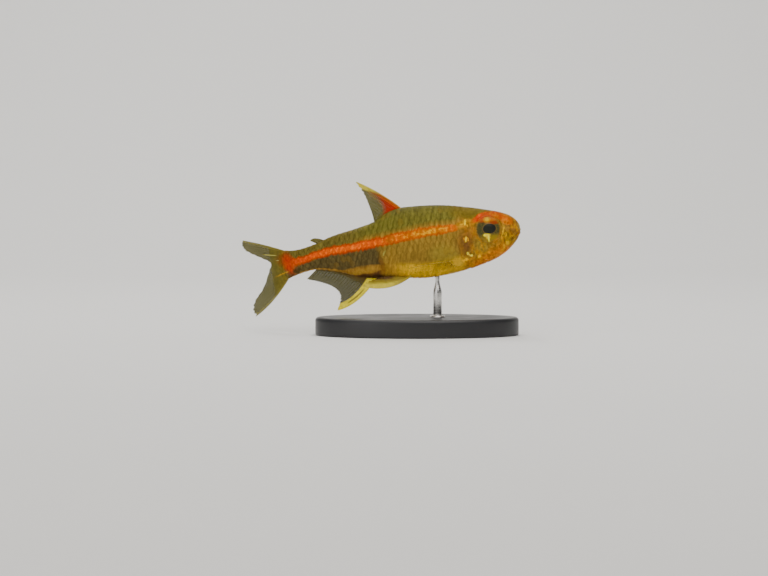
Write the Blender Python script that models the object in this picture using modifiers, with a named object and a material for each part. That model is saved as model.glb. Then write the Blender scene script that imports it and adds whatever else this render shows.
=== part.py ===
"""A glowlight tetra on a small display stand, life size, as a still model.

The fish is one lofted body, divided by thin gaps into head, trunk and tail stalk, with
eyes and fins as pieces of their own. A point of the fish is given in millimetres by how
far it lies behind the snout, how far it stands to the left of the midline, and how high
it is above the snout's level. The midline swings to the left towards the tail, and an
empty tilts the finished fish, head up, over its base.
"""

import math

import bmesh
import bpy
import numpy as np
from mathutils import Matrix, Vector

MM = 0.001
GAP = 0.3                       # between any two pieces that touch on the real fish

STANDARD_LENGTH = 33.0          # snout to the end of the tail stalk, seen from the side
PITCH = math.radians(8.0)       # head up
BEND_START = 17.0               # the tail starts to swing here, behind the snout
BEND = 0.0175                   # sideways swing of the midline, per mm squared past the start

# Behind the snout, back, belly, half width, and height of the widest level
BODY_STATIONS = np.array((
    (0.0, 0.69, 0.69, 0.0, 0.69),
    (0.41, 1.86, -0.48, 0.95, 0.66),
    (1.38, 2.75, -1.51, 1.50, 0.55),
    (2.75, 3.38, -2.48, 1.82, 0.42),
    (4.13, 3.81, -3.08, 2.08, 0.30),
    (6.88, 4.59, -3.73, 2.25, 0.10),
    (10.3, 5.34, -4.21, 2.35, -0.15),
    (14.4, 5.72, -4.24, 2.20, -0.10),
    (16.1, 5.76, -3.97, 2.08, 0.05),
    (17.9, 5.34, -3.62, 1.87, 0.25),
    (19.9, 4.35, -3.46, 1.62, 0.40),
    (22.0, 3.85, -3.16, 1.37, 0.50),
    (26.1, 3.08, -1.73, 0.95, 0.60),
    (28.9, 2.22, -1.20, 0.72, 0.55),
    (31.0, 1.88, -1.50, 0.56, 0.30),
    (33.0, 2.06, -2.10, 0.32, 0.10),
))
BACK_ROUNDNESS = (0.80, 1.12)   # section power above the widest level: at the snout, on the trunk
BELLY_ROUNDNESS = (0.90, 1.00)
ROUNDNESS_REACH = 12.0          # behind the snout, where the trunk's section is reached

GILL_EDGE = 8.9                 # hind edge of the gill cover, at the snout's level
GILL_CURVE = 0.10               # how fast that edge runs forward, per mm squared of height
GILL_REACH = 3.0                # how far before and behind it the rings share its curve
STALK_EDGE = 28.5               # front of the tail stalk

RING_SIDES = 44
HEAD_RINGS = 22
TRUNK_RINGS = 25
STALK_RINGS = 8

EYE_BEHIND = 4.47
EYE_UP = 1.24
EYE_RADIUS = 1.80
EYE_DEPTH = 0.72                # half the ball's thickness
EYE_SINK = 0.42                 # its centre lies this far inside the cheek
EYE_FORWARD = math.radians(7.0)
EYE_LIFT = math.radians(4.0)

MOUTH_CORNER = 1.65             # behind the snout
MOUTH_FRONT_UP = 0.34
MOUTH_SLOPE = 0.56              # fall of the mouth line, per mm backwards
MOUTH_SLIT = 0.14
JAW_REACH = 2.15                # the upper jaw's lip runs on to here
LIP_RADIUS = 0.17
LIP_OFFSET = 0.21               # from the mouth line to each lip's middle

NOSTRIL_BEHIND = (1.62, 2.02)
NOSTRIL_UP = (1.62, 1.86)
NOSTRIL_RADIUS = 0.15

RIDGE_THICKNESS = 0.62          # a fin along its rays
MEMBRANE_THICKNESS = 0.48       # and between them
TIP_THICKNESS = 0.26
TAPER_START = 0.55              # share of a ray's length where it starts to thin
NOTCH = 0.03                    # the membrane ends this share of a ray before its tip

BASE_LENGTH = 28.0
BASE_WIDTH = 16.0
BASE_THICKNESS = 2.5
BASE_AHEAD = 5.0                # the base's middle, ahead of the model's
BASE_EDGE = 0.5
ROD_RADIUS = 0.6
ROD_BEHIND = 12.2               # where the rod meets the belly, behind the snout
SOCKET_DEPTH = 1.4
SNOUT_AHEAD = 19.3              # the snout, ahead of the model's middle
SNOUT_HEIGHT = 14.05            # the snout's level above the floor

MODEL = "glowlight_tetra"
CUTTERS = "cutters"


def start_scene():
    """Empty the scene and make the two collections."""
    for old in list(bpy.data.objects):
        bpy.data.objects.remove(old)
    for name in (MODEL, CUTTERS):
        bpy.context.scene.collection.children.link(bpy.data.collections.new(name))


def add_object(name, mesh, parent=None, collection=MODEL):
    """Link a mesh as a named object under its parent."""
    piece = bpy.data.objects.new(name, mesh)
    piece.parent = parent
    bpy.data.collections[collection].objects.link(piece)
    return piece


def finish_mesh(name, shape, smooth=True):
    """Turn a closed bmesh into a mesh whose faces point out."""
    bmesh.ops.recalc_face_normals(shape, faces=shape.faces[:])
    mesh = bpy.data.meshes.new(name)
    shape.to_mesh(mesh)
    shape.free()
    if smooth:
        mesh.shade_smooth()
    return mesh


def paint(piece, colour, roughness, metallic=0.0):
    """Give a piece its own Principled material."""
    material = bpy.data.materials.new(piece.name)
    material.use_nodes = True
    shader = material.node_tree.nodes["Principled BSDF"]
    shader.inputs["Base Color"].default_value = (*colour, 1.0)
    shader.inputs["Roughness"].default_value = roughness
    shader.inputs["Metallic"].default_value = metallic
    piece.data.materials.clear()
    piece.data.materials.append(material)


def curve_through(where, knots, values):
    """Read a smooth cubic curve through the knots; its slope there follows the neighbours."""
    slopes = np.gradient(values, knots)
    cell = np.clip(np.searchsorted(knots, where) - 1, 0, len(knots) - 2)
    width = knots[cell + 1] - knots[cell]
    t = (where - knots[cell]) / width
    return (values[cell] * (1 + 2 * t) * (1 - t) ** 2 + slopes[cell] * width * t * (1 - t) ** 2
            + values[cell + 1] * t * t * (3 - 2 * t) + slopes[cell + 1] * width * t * t * (t - 1))


def body_section(behind):
    """Back, belly, half width and widest level of the body, behind the snout.

    The stations are read against the square root of the distance, which rounds the snout.
    """
    knots = np.sqrt(BODY_STATIONS[:, 0])
    where = np.sqrt(np.clip(behind, 0.0, STANDARD_LENGTH))
    return [curve_through(where, knots, BODY_STATIONS[:, column]) for column in range(1, 5)]


def roundness(behind, powers):
    """Section power, which runs smoothly from the snout's value to the trunk's."""
    t = np.clip(behind / ROUNDNESS_REACH, 0.0, 1.0)
    return powers[0] + (powers[1] - powers[0]) * t * t * (3 - 2 * t)


def section_point(behind, angle):
    """Side and height of the skin; the angle is 0 at the left, 90 degrees on the back."""
    back, belly, half, widest = body_section(behind)
    lift, reach = np.sin(angle), np.cos(angle)
    above = lift > 0
    power = np.where(above, roundness(behind, BACK_ROUNDNESS), roundness(behind, BELLY_ROUNDNESS))
    side = half * np.sign(reach) * np.abs(reach) ** power
    return side, widest + np.where(above, back - widest, widest - belly) * lift


def half_width_at(behind, up):
    """Half the body's width at a height, and 0 where the height misses the body."""
    back, belly, half, widest = body_section(behind)
    above = up > widest
    lift = np.where(above, (up - widest) / (back - widest), (widest - up) / (widest - belly))
    power = np.where(above, roundness(behind, BACK_ROUNDNESS), roundness(behind, BELLY_ROUNDNESS))
    return half * np.clip(1 - lift * lift, 0.0, 1.0) ** (power / 2)


def placed(behind, side, up):
    """Carry points of the fish onto its bent midline: metres, snout towards +X."""
    behind, side, up = np.broadcast_arrays(*(np.asarray(v, dtype=float) for v in (behind, side, up)))
    past = np.clip(behind - BEND_START, 0.0, None)
    turn = np.arctan(2 * BEND * past)
    return np.stack((-behind + side * np.sin(turn), BEND * past ** 2 + side * np.cos(turn), up), axis=-1) * MM


def body_ring(middle):
    """One ring of skin points. Near the gill cover it curves forward, as the cover's edge does."""
    angle = np.arange(RING_SIDES) * 2 * math.pi / RING_SIDES - math.pi / 2
    curve = GILL_CURVE * math.exp(-((middle - GILL_EDGE) / GILL_REACH) ** 2)
    behind = np.full(RING_SIDES, middle)
    for _ in range(6):
        side, up = section_point(behind, angle)
        behind = middle - curve * up ** 2
    side, up = section_point(behind, angle)
    return placed(behind, side, up)


def close_ring(shape, ring):
    """Cap a ring with strips that run straight across, from its left side to its right."""
    half = RING_SIDES // 2
    shape.faces.new((ring[0], ring[1], ring[-1]))
    for i in range(1, half - 1):
        shape.faces.new((ring[i], ring[i + 1], ring[-i - 1], ring[-i]))
    shape.faces.new((ring[half - 1], ring[half], ring[half + 1]))


def body_piece(name, middles, parent, snout=False):
    """Loft a length of the body through its rings and close both ends."""
    shape = bmesh.new()
    rings = [[shape.verts.new(point) for point in body_ring(middle)] for middle in middles]
    for fore, aft in zip(rings, rings[1:]):
        for i in range(RING_SIDES):
            j = (i + 1) % RING_SIDES
            shape.faces.new((fore[i], fore[j], aft[j], aft[i]))
    if snout:
        tip = shape.verts.new(placed(0.0, 0.0, BODY_STATIONS[0, 1]))
        for i in range(RING_SIDES):
            shape.faces.new((tip, rings[0][i], rings[0][(i + 1) % RING_SIDES]))
    else:
        close_ring(shape, rings[0])
    close_ring(shape, rings[-1])
    bmesh.ops.triangulate(shape, faces=shape.faces[:])
    return add_object(name, finish_mesh(name, shape), parent)


def ball(name, centre, axes, parent, segments, collection=MODEL):
    """An ellipsoid: its axes are three vectors, the last one through its poles."""
    shape = bmesh.new()
    bmesh.ops.create_uvsphere(shape, u_segments=segments, v_segments=segments // 2, radius=1.0)
    columns = Matrix([list(axis) for axis in axes]).transposed().to_4x4()
    bmesh.ops.transform(shape, matrix=Matrix.Translation(Vector(centre)) @ columns, verts=shape.verts[:])
    return add_object(name, finish_mesh(name, shape), parent, collection)


def hide_cutter(cutter):
    """Mark an object as a tool, and not a part of the model."""
    cutter.hide_render = True
    cutter.display_type = "WIRE"
    return cutter


def keep_largest_body(mesh):
    """Drop every loose scrap and inner shell that a union or a cut leaves."""
    shape = bmesh.new()
    shape.from_mesh(mesh)
    unseen = set(shape.verts)
    bodies = []
    while unseen:
        body = [unseen.pop()]
        for vertex in body:
            linked = {edge.other_vert(vertex) for edge in vertex.link_edges} & unseen
            unseen -= linked
            body.extend(linked)
        bodies.append(body)
    bodies.sort(key=len)
    for scrap in bodies[:-1]:
        bmesh.ops.delete(shape, geom=scrap, context="VERTS")
    shape.to_mesh(mesh)
    shape.free()


def combine(piece, tools, operation):
    """Join the piece with its tools, or cut them out of it, and remove them."""
    group = bpy.data.collections.new(f"{piece.name}_{operation.lower()}")
    for tool in tools:
        group.objects.link(tool)
    boolean = piece.modifiers.new(operation.title(), "BOOLEAN")
    boolean.operand_type = "COLLECTION"
    boolean.collection = group
    boolean.operation = operation
    boolean.solver = "EXACT"
    bpy.context.view_layer.update()
    result = bpy.data.meshes.new_from_object(piece.evaluated_get(bpy.context.evaluated_depsgraph_get()))
    piece.modifiers.clear()
    piece.data = result
    keep_largest_body(piece.data)
    for tool in list(group.objects):
        bpy.data.objects.remove(tool)
    bpy.data.collections.remove(group)


def tube(name, points, radius, parent):
    """A closed round tube through the points, made as a curve and turned into a mesh."""
    curve = bpy.data.curves.new(name, "CURVE")
    curve.dimensions = "3D"
    curve.bevel_depth = radius * MM
    curve.bevel_resolution = 2
    curve.use_fill_caps = True
    spline = curve.splines.new("POLY")
    spline.points.add(len(points) - 1)
    for target, point in zip(spline.points, points):
        target.co = (*point, 1.0)
    wire = add_object(f"{name}_curve", curve, parent, CUTTERS)
    bpy.context.view_layer.update()
    mesh = bpy.data.meshes.new_from_object(wire.evaluated_get(bpy.context.evaluated_depsgraph_get()))
    mesh.transform(wire.matrix_world)
    bpy.data.objects.remove(wire)
    shape = bmesh.new()
    shape.from_mesh(mesh)
    bmesh.ops.remove_doubles(shape, verts=shape.verts[:], dist=1e-6)
    return add_object(name, finish_mesh(name, shape), collection=CUTTERS)


def mouth_line(behind):
    """Height of the line where the lips meet."""
    return MOUTH_FRONT_UP - MOUTH_SLOPE * behind


def lip_path(offset, corner, steps=13):
    """A lip's middle line on the skin, from the left corner round the front to the right."""
    trial = np.linspace(0.01, corner, 400)
    back, belly = body_section(trial)[:2]
    height = mouth_line(trial) + offset
    front = trial[np.argmax((height > belly) & (height < back))]
    angle = np.linspace(-math.pi / 2, math.pi / 2, 2 * steps - 1)
    behind = front + (corner - front) * (1 - np.cos(angle))
    up = mouth_line(behind) + offset * np.cos(angle) ** 0.5
    side = -np.sign(angle) * half_width_at(behind, up)
    return placed(behind, side, up)


def grid_sheet(name, points, thickness, parent, weights=None, collection=MODEL):
    """A sheet through a grid of points, in triangles, thickened evenly on both faces."""
    rows, columns = points.shape[:2]
    shape = bmesh.new()
    grid = [[shape.verts.new(point) for point in row] for row in points]
    for r in range(rows - 1):
        for c in range(columns - 1):
            corners = (grid[r][c], grid[r][c + 1], grid[r + 1][c + 1], grid[r + 1][c])
            first = 0 if c % 2 else 1
            shape.faces.new([corners[(first + k) % 4] for k in (0, 1, 2)])
            shape.faces.new([corners[(first + k) % 4] for k in (0, 2, 3)])
    mesh = bpy.data.meshes.new(name)
    shape.to_mesh(mesh)
    shape.free()
    mesh.shade_smooth()
    sheet = add_object(name, mesh, parent, collection)
    solidify = sheet.modifiers.new("Thickness", "SOLIDIFY")
    solidify.thickness = thickness * MM
    solidify.offset = 0.0
    if weights is not None:
        group = sheet.vertex_groups.new(name="thickness")
        for index, weight in enumerate(weights.ravel()):
            group.add([index], float(weight), "REPLACE")
        solidify.vertex_group = group.name
    return sheet


def fin(name, parent, rays, rows, root, margin, bow=(0.0, 0.0, 0.0)):
    """A fin between its root and its margin, with a ridge along every ray.

    Root and margin are rows of (behind, side, up), read as smooth curves from the
    leading ray to the last. Bow bends the leading ray at its middle and fades to the last.
    """
    columns = 2 * rays - 1
    across = np.linspace(0.0, 1.0, columns)
    along = np.linspace(0.0, 1.0, rows)[:, None, None]
    edges = []
    for points in (np.array(root), np.array(margin)):
        knots = np.linspace(0.0, 1.0, len(points))
        edges.append(np.stack([curve_through(across, knots, points[:, k]) for k in range(3)], axis=-1))
    valley = (np.arange(columns) % 2).astype(float)
    along = along * (1 - NOTCH * valley[None, :, None])
    spread = edges[0] + (edges[1] - edges[0]) * along
    spread = spread + np.array(bow) * (1 - across[None, :, None]) ** 2 * 4 * along * (1 - along)
    thin = np.clip((along[..., 0] - TAPER_START) / (1 - TAPER_START), 0.0, 1.0)
    full = np.where(valley > 0, MEMBRANE_THICKNESS, RIDGE_THICKNESS)
    weights = (full + (TIP_THICKNESS - full) * thin) / RIDGE_THICKNESS
    points = placed(spread[..., 0], spread[..., 1], spread[..., 2])
    return grid_sheet(name, points, RIDGE_THICKNESS, parent, weights)


def back_line(start, end, lift, count=5):
    """Root points of a fin that stands on the back."""
    behind = np.linspace(start, end, count)
    return [(b, 0.0, float(body_section(b)[0]) + lift) for b in behind]


def belly_line(start, end, drop, count=5):
    """Root points of a fin that hangs from the belly."""
    behind = np.linspace(start, end, count)
    return [(b, 0.0, float(body_section(b)[1]) - drop) for b in behind]


def mirrored(points, hand):
    """The same points on the fish's left (+1) or right (-1) side."""
    return [(behind, hand * side, up) for behind, side, up in points]


def make_head(pose):
    """Head with its lips, mouth slit, nostrils and eye sockets."""
    steps = np.linspace(0.0, 1.0, HEAD_RINGS)
    first, last = 0.05, GILL_EDGE - GAP / 2
    head = body_piece("head", first + (last - first) * steps ** 2, pose, snout=True)
    lips = [
        tube("upper_lip", lip_path(LIP_OFFSET, JAW_REACH), LIP_RADIUS, pose),
        tube("lower_lip", lip_path(-LIP_OFFSET, MOUTH_CORNER), LIP_RADIUS, pose),
    ]
    combine(head, lips, "UNION")
    reach = float(half_width_at(MOUTH_CORNER, mouth_line(MOUTH_CORNER))) + 1.0
    behind = np.linspace(-1.0, MOUTH_CORNER, 5)[:, None]
    side = np.linspace(-reach, reach, 3)[None, :]
    slit = grid_sheet("mouth_slit", placed(behind, side, mouth_line(behind)), MOUTH_SLIT, pose, None, CUTTERS)
    cutters = [slit]
    for hand in (1, -1):
        cutters.append(eye_ball(f"socket_{hand + 1}", hand, GAP, pose, 28, CUTTERS))
        for behind, up in zip(NOSTRIL_BEHIND, NOSTRIL_UP):
            centre = placed(behind, hand * half_width_at(behind, up), up)
            axes = [Vector(axis) * NOSTRIL_RADIUS * MM for axis in ((1, 0, 0), (0, 0, 1), (0, 2, 0))]
            cutters.append(ball(f"nostril_{hand + 1}_{behind}", centre, axes, pose, 10, CUTTERS))
    combine(head, [hide_cutter(cutter) for cutter in cutters], "DIFFERENCE")
    return head


def eye_ball(name, hand, grow, pose, segments, collection=MODEL):
    """The eye, or with a positive growth the socket that leaves a gap round it."""
    cheek = float(half_width_at(EYE_BEHIND, EYE_UP))
    out = Vector((math.sin(EYE_FORWARD), hand * math.cos(EYE_FORWARD), math.sin(EYE_LIFT))).normalized()
    centre = Vector(placed(EYE_BEHIND, hand * cheek, EYE_UP)) - out * EYE_SINK * MM
    upright = (Vector((0, 0, 1)) - out * out.z).normalized()
    level = upright.cross(out)
    radius = (EYE_RADIUS + grow) * MM
    axes = (level * radius, upright * radius, out * (EYE_DEPTH + grow) * MM)
    return ball(name, centre, axes, pose, segments, collection)


def make_trunk(pose):
    """The trunk, from the gill cover's edge to the tail stalk."""
    return body_piece("trunk", np.linspace(GILL_EDGE + GAP / 2, STALK_EDGE - GAP / 2, TRUNK_RINGS), pose)


def make_tail_stalk(pose):
    """The slim stalk that carries the tail fin."""
    return body_piece("tail_stalk", np.linspace(STALK_EDGE + GAP / 2, STANDARD_LENGTH, STALK_RINGS), pose)


def make_dorsal_fin(pose):
    """A pointed fin whose hind edge falls almost straight to the back."""
    margin = [(21.55, 0, 10.15), (20.78, 0, 8.55), (20.34, 0, 7.20), (20.05, 0, 6.10), (19.85, 0, 5.25)]
    return fin("dorsal_fin", pose, 10, 9, back_line(15.95, 19.65, GAP), margin, bow=(-0.15, 0, 0.22))


def make_adipose_fin(pose):
    """The small rayless flap between dorsal fin and tail."""
    root = back_line(26.95, 27.95, GAP)
    margin = [(28.40, 0, 3.16), (28.75, 0, 3.08), (28.92, 0, 2.94), (28.80, 0, 2.80), (28.45, 0, 2.76)]
    return fin("adipose_fin", pose, 3, 5, root, margin, bow=(0, 0, 0.12))


def make_anal_fin(pose):
    """A long fin under the tail: its front rays reach far back, the others are short."""
    margin = [(26.50, 0, -7.12), (25.85, 0, -5.20), (26.55, 0, -3.95), (28.20, 0, -3.05), (30.15, 0, -2.35)]
    return fin("anal_fin", pose, 15, 8, belly_line(20.55, 28.2, GAP), margin, bow=(0, 0, -0.80))


def make_tail_fin(pose):
    """Two broad lobes, split by the fork."""
    root = STANDARD_LENGTH + GAP
    upper = [(38.40, 0, 4.05), (38.62, 0, 3.35), (38.20, 0, 2.55), (36.70, 0, 1.62), (35.08, 0, 0.76)]
    lower = [(38.10, 0, -6.75), (38.35, 0, -5.75), (37.85, 0, -4.45), (36.45, 0, -2.85), (35.05, 0, -0.30)]
    return [
        fin("caudal_fin_upper", pose, 9, 10, [(root, 0, 2.06), (root, 0, 1.24), (root, 0, 0.42)], upper,
            bow=(0, 0, 0.12)),
        fin("caudal_fin_lower", pose, 9, 10, [(root, 0, -2.08), (root, 0, -1.02), (root, 0, 0.04)], lower,
            bow=(0, 0, -0.50)),
    ]


def make_pelvic_fin(pose, name, hand):
    """A narrow fin, swept back under the belly."""
    root = [(15.85, 1.20, -4.18), (16.40, 0.92, -4.33), (16.95, 0.62, -4.36)]
    margin = [(22.30, 2.05, -4.10), (21.70, 1.85, -3.78), (20.60, 1.60, -3.60), (19.40, 1.35, -3.52)]
    return fin(name, pose, 7, 8, mirrored(root, hand), mirrored(margin, hand), bow=(0, hand * 0.1, -0.60))


def make_pectoral_fin(pose, name, hand):
    """A fin behind the gill cover that lies back along the flank."""
    root = [(8.95, 2.38, -2.50), (8.90, 2.26, -2.80), (8.85, 2.08, -3.10)]
    margin = [(16.10, 3.40, -2.50), (15.75, 3.25, -2.95), (14.70, 3.00, -3.45), (13.20, 2.70, -3.80)]
    return fin(name, pose, 9, 8, mirrored(root, hand), mirrored(margin, hand), bow=(0, hand * 0.1, 0.10))


def belly_height(pose):
    """Height above the floor of the belly's lowest skin over the rod."""
    behind = np.linspace(ROD_BEHIND - ROD_RADIUS, ROD_BEHIND + ROD_RADIUS, 9)
    skin = placed(behind, 0.0, body_section(behind)[1])
    return min((pose.matrix_world @ Vector(point)).z for point in skin)


def make_stand(pose):
    """A flat oval base with a socket, and one rod up to the belly."""
    spot = pose.matrix_world @ Vector(placed(ROD_BEHIND, 0.0, body_section(ROD_BEHIND)[1]))
    shape = bmesh.new()
    bmesh.ops.create_cone(shape, cap_ends=True, segments=56, radius1=1.0, radius2=1.0, depth=1.0)
    size = Matrix.Diagonal((BASE_LENGTH / 2 * MM, BASE_WIDTH / 2 * MM, BASE_THICKNESS * MM, 1.0))
    bmesh.ops.transform(shape, matrix=size, verts=shape.verts[:])
    base = add_object("stand_base", finish_mesh("stand_base", shape, smooth=False))
    base.location = (BASE_AHEAD * MM, 0.0, BASE_THICKNESS / 2 * MM)
    bevel = base.modifiers.new("Edge", "BEVEL")
    bevel.width = BASE_EDGE * MM
    bevel.segments = 2
    bevel.limit_method = "ANGLE"
    bevel.angle_limit = math.radians(60.0)

    floor = BASE_THICKNESS - SOCKET_DEPTH
    socket = rod_piece("socket", spot, floor, BASE_THICKNESS + 1.0, ROD_RADIUS + GAP, CUTTERS)
    combine(base, [hide_cutter(socket)], "DIFFERENCE")
    base.data.set_sharp_from_angle(angle=math.radians(35.0))
    top = belly_height(pose) / MM - GAP
    rod = rod_piece("stand_rod", spot, floor + GAP, top, ROD_RADIUS, MODEL)
    return base, rod


def rod_piece(name, spot, bottom, top, radius, collection):
    """An upright round rod between two heights."""
    shape = bmesh.new()
    bmesh.ops.create_cone(shape, cap_ends=True, segments=24, radius1=radius * MM, radius2=radius * MM,
                          depth=(top - bottom) * MM)
    rod = add_object(name, finish_mesh(name, shape), collection=collection)
    rod.data.set_sharp_from_angle(angle=math.radians(35.0))
    rod.location = (spot.x, spot.y, (top + bottom) / 2 * MM)
    return rod


def build():
    """Make every piece of the model."""
    start_scene()
    pose = bpy.data.objects.new("pose", None)
    bpy.data.collections[MODEL].objects.link(pose)
    pose.rotation_euler = (0.0, -PITCH, 0.0)
    pose.location = (SNOUT_AHEAD * MM, 0.0, SNOUT_HEIGHT * MM)
    bpy.context.view_layer.update()

    gold, olive, clear = (0.72, 0.36, 0.06), (0.42, 0.33, 0.10), (0.55, 0.50, 0.28)
    paint(make_head(pose), gold, 0.35)
    paint(make_trunk(pose), olive, 0.35)
    paint(make_tail_stalk(pose), (0.80, 0.20, 0.05), 0.35)
    for name, hand in (("left", 1), ("right", -1)):
        paint(eye_ball(f"eye_{name}", hand, 0.0, pose, 24), (0.03, 0.03, 0.03), 0.08)
        paint(make_pelvic_fin(pose, f"pelvic_fin_{name}", hand), (0.80, 0.70, 0.35), 0.4)
        paint(make_pectoral_fin(pose, f"pectoral_fin_{name}", hand), clear, 0.4)
    paint(make_dorsal_fin(pose), (0.75, 0.25, 0.08), 0.4)
    paint(make_adipose_fin(pose), clear, 0.4)
    paint(make_anal_fin(pose), clear, 0.4)
    for lobe in make_tail_fin(pose):
        paint(lobe, clear, 0.4)
    base, rod = make_stand(pose)
    paint(base, (0.02, 0.02, 0.02), 0.45)
    paint(rod, (0.62, 0.62, 0.60), 0.3, 1.0)


build()
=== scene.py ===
# %% [markdown]
# A glowlight tetra is a slim fish, 33 mm long without its tail fin, with a glowing stripe from
# gill to tail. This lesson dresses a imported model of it: one skin over head, trunk and tail
# stalk, a coat of overlapping scales, wet eyes, thin fins on branched rays, and the plain stand
# that carries it. Every surface is worked out with numpy from the outline that the solids have.

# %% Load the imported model
import math

import bpy
import numpy as np
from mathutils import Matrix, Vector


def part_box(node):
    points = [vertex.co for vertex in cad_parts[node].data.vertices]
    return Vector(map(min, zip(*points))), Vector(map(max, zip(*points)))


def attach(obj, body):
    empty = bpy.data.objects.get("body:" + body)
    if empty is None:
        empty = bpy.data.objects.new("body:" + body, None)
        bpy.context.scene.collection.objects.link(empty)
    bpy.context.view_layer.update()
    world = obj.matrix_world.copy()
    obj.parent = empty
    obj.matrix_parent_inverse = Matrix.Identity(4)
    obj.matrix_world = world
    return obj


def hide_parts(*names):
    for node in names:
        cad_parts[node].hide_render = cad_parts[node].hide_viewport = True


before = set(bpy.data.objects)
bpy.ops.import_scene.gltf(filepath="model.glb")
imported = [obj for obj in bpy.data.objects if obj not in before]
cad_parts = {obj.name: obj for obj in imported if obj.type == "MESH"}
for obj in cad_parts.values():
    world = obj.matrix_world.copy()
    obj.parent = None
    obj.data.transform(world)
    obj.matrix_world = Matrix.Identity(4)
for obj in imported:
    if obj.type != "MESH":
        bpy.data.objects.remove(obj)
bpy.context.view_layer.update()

# %% [markdown]
# The body is a loft. Its outline is read in the side view at 17 places: the back, the belly, the
# half width and the height at which the fish is widest. The same numbers shape the solids, so
# the skin fits them without any fitting. Lengths are millimetres, measured back from the snout.

# %% Driving dimensions of the fish
MM = 0.001
BODY_END = 33.9                 # the flesh runs out over the roots of the tail fin
PITCH = math.radians(8.0)       # head up
BEND_START = 17.0               # from here the tail swings to the fish's left
BEND = 0.0175                   # swing of the midline, per mm squared past that start
SNOUT_AHEAD = 19.3              # the snout, ahead of the model's middle
SNOUT_HEIGHT = 14.05            # the snout's level above the floor
COAT_DEPTH = 0.07               # the skin lies this far inside the solids, under its scales

# Behind the snout, back, belly, half width, and height of the widest level
BODY_STATIONS = np.array((
    (0.0, 0.69, 0.69, 0.0, 0.69),
    (0.41, 1.86, -0.48, 0.95, 0.66),
    (1.38, 2.75, -1.51, 1.50, 0.55),
    (2.75, 3.38, -2.48, 1.82, 0.42),
    (4.13, 3.81, -3.08, 2.08, 0.30),
    (6.88, 4.59, -3.73, 2.25, 0.10),
    (10.3, 5.34, -4.21, 2.35, -0.15),
    (14.4, 5.72, -4.24, 2.20, -0.10),
    (16.1, 5.76, -3.97, 2.08, 0.05),
    (17.9, 5.34, -3.62, 1.87, 0.25),
    (19.9, 4.35, -3.46, 1.62, 0.40),
    (22.0, 3.85, -3.16, 1.37, 0.50),
    (26.1, 3.08, -1.73, 0.95, 0.60),
    (28.9, 2.22, -1.20, 0.72, 0.55),
    (31.0, 1.88, -1.50, 0.56, 0.30),
    (33.0, 2.06, -2.10, 0.32, 0.10),
    (BODY_END, 2.22, -2.38, 0.05, 0.05),
))
BACK_ROUNDNESS = (0.80, 1.12)   # section power above the widest level: snout, trunk
BELLY_ROUNDNESS = (0.90, 1.00)
ROUNDNESS_REACH = 12.0

# %% [markdown]
# A section is not a plain ellipse. Its side is the cosine of the angle raised to a power: below
# one it fills out, as on the head, and above one it narrows, as on the back. A cubic curve joins
# the stations, read against the square root of the distance, which rounds the snout.

# %% The body's surface as a function of two parameters


def curve_through(where, knots, values):
    """Cubic curve through the knots: at each knot its slope is the slope of its neighbours."""
    slopes = np.gradient(values, knots)
    cell = np.clip(np.searchsorted(knots, where) - 1, 0, len(knots) - 2)
    width = knots[cell + 1] - knots[cell]
    t = (where - knots[cell]) / width
    return (values[cell] * (1 + 2 * t) * (1 - t) ** 2 + slopes[cell] * width * t * (1 - t) ** 2
            + values[cell + 1] * t * t * (3 - 2 * t) + slopes[cell + 1] * width * t * t * (t - 1))


def smooth(x, low, high):
    """0 below low, 1 above high, and 3t^2 - 2t^3 between them; low may be the larger one."""
    t = np.clip((x - low) / (high - low), 0.0, 1.0)
    return t * t * (3 - 2 * t)


def bell(x, width):
    """A bell curve: e to the power of minus (x / width) squared."""
    return np.exp(-(x / width) ** 2)


def unit(vectors):
    """Vectors along the last axis, each divided by its own length."""
    return vectors / np.maximum(np.linalg.norm(vectors, axis=-1, keepdims=True), 1e-15)


def body_section(behind):
    """Back, belly, half width and widest level at a distance behind the snout."""
    knots = np.sqrt(BODY_STATIONS[:, 0])
    where = np.sqrt(np.clip(behind, 0.0, BODY_END))
    return [curve_through(where, knots, BODY_STATIONS[:, column]) for column in range(1, 5)]


def roundness(behind, powers):
    """Section power, running smoothly from the snout's to the trunk's."""
    return powers[0] + (powers[1] - powers[0]) * smooth(behind, 0.0, ROUNDNESS_REACH)


def section_point(behind, angle):
    """Side = half width times cos(angle)^power; height = widest level plus reach times sin(angle)."""
    back, belly, half, widest = body_section(behind)
    lift, reach = np.sin(angle), np.cos(angle)
    above = lift > 0
    power = np.where(above, roundness(behind, BACK_ROUNDNESS), roundness(behind, BELLY_ROUNDNESS))
    side = half * np.sign(reach) * np.abs(reach) ** power
    return side, widest + np.where(above, back - widest, widest - belly) * lift


def angle_at(behind, up):
    """Angle at which the left skin has a height: the arc sine of its share of the reach."""
    back, belly, _, widest = body_section(behind)
    reach = np.where(up > widest, back - widest, widest - belly)
    return np.arcsin(np.clip((up - widest) / reach, -1.0, 1.0))


def section_normal(behind, angle, step=1e-3):
    """Outward unit vector in (behind, side, up): the cross product of the two small steps."""
    middle = np.maximum(behind, 2 * step)
    ahead = np.stack(section_point(middle - step, angle))
    along = np.stack(section_point(middle + step, angle)) - ahead
    turned = np.stack(section_point(middle, angle + step)) - np.stack(section_point(middle, angle - step))
    along = np.concatenate((np.full_like(along[:1], 2 * step), along))
    turned = np.concatenate((np.zeros_like(turned[:1]), turned))
    normal = np.cross(turned, along, axis=0)
    return normal / np.maximum(np.linalg.norm(normal, axis=0), 1e-12)


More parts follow.
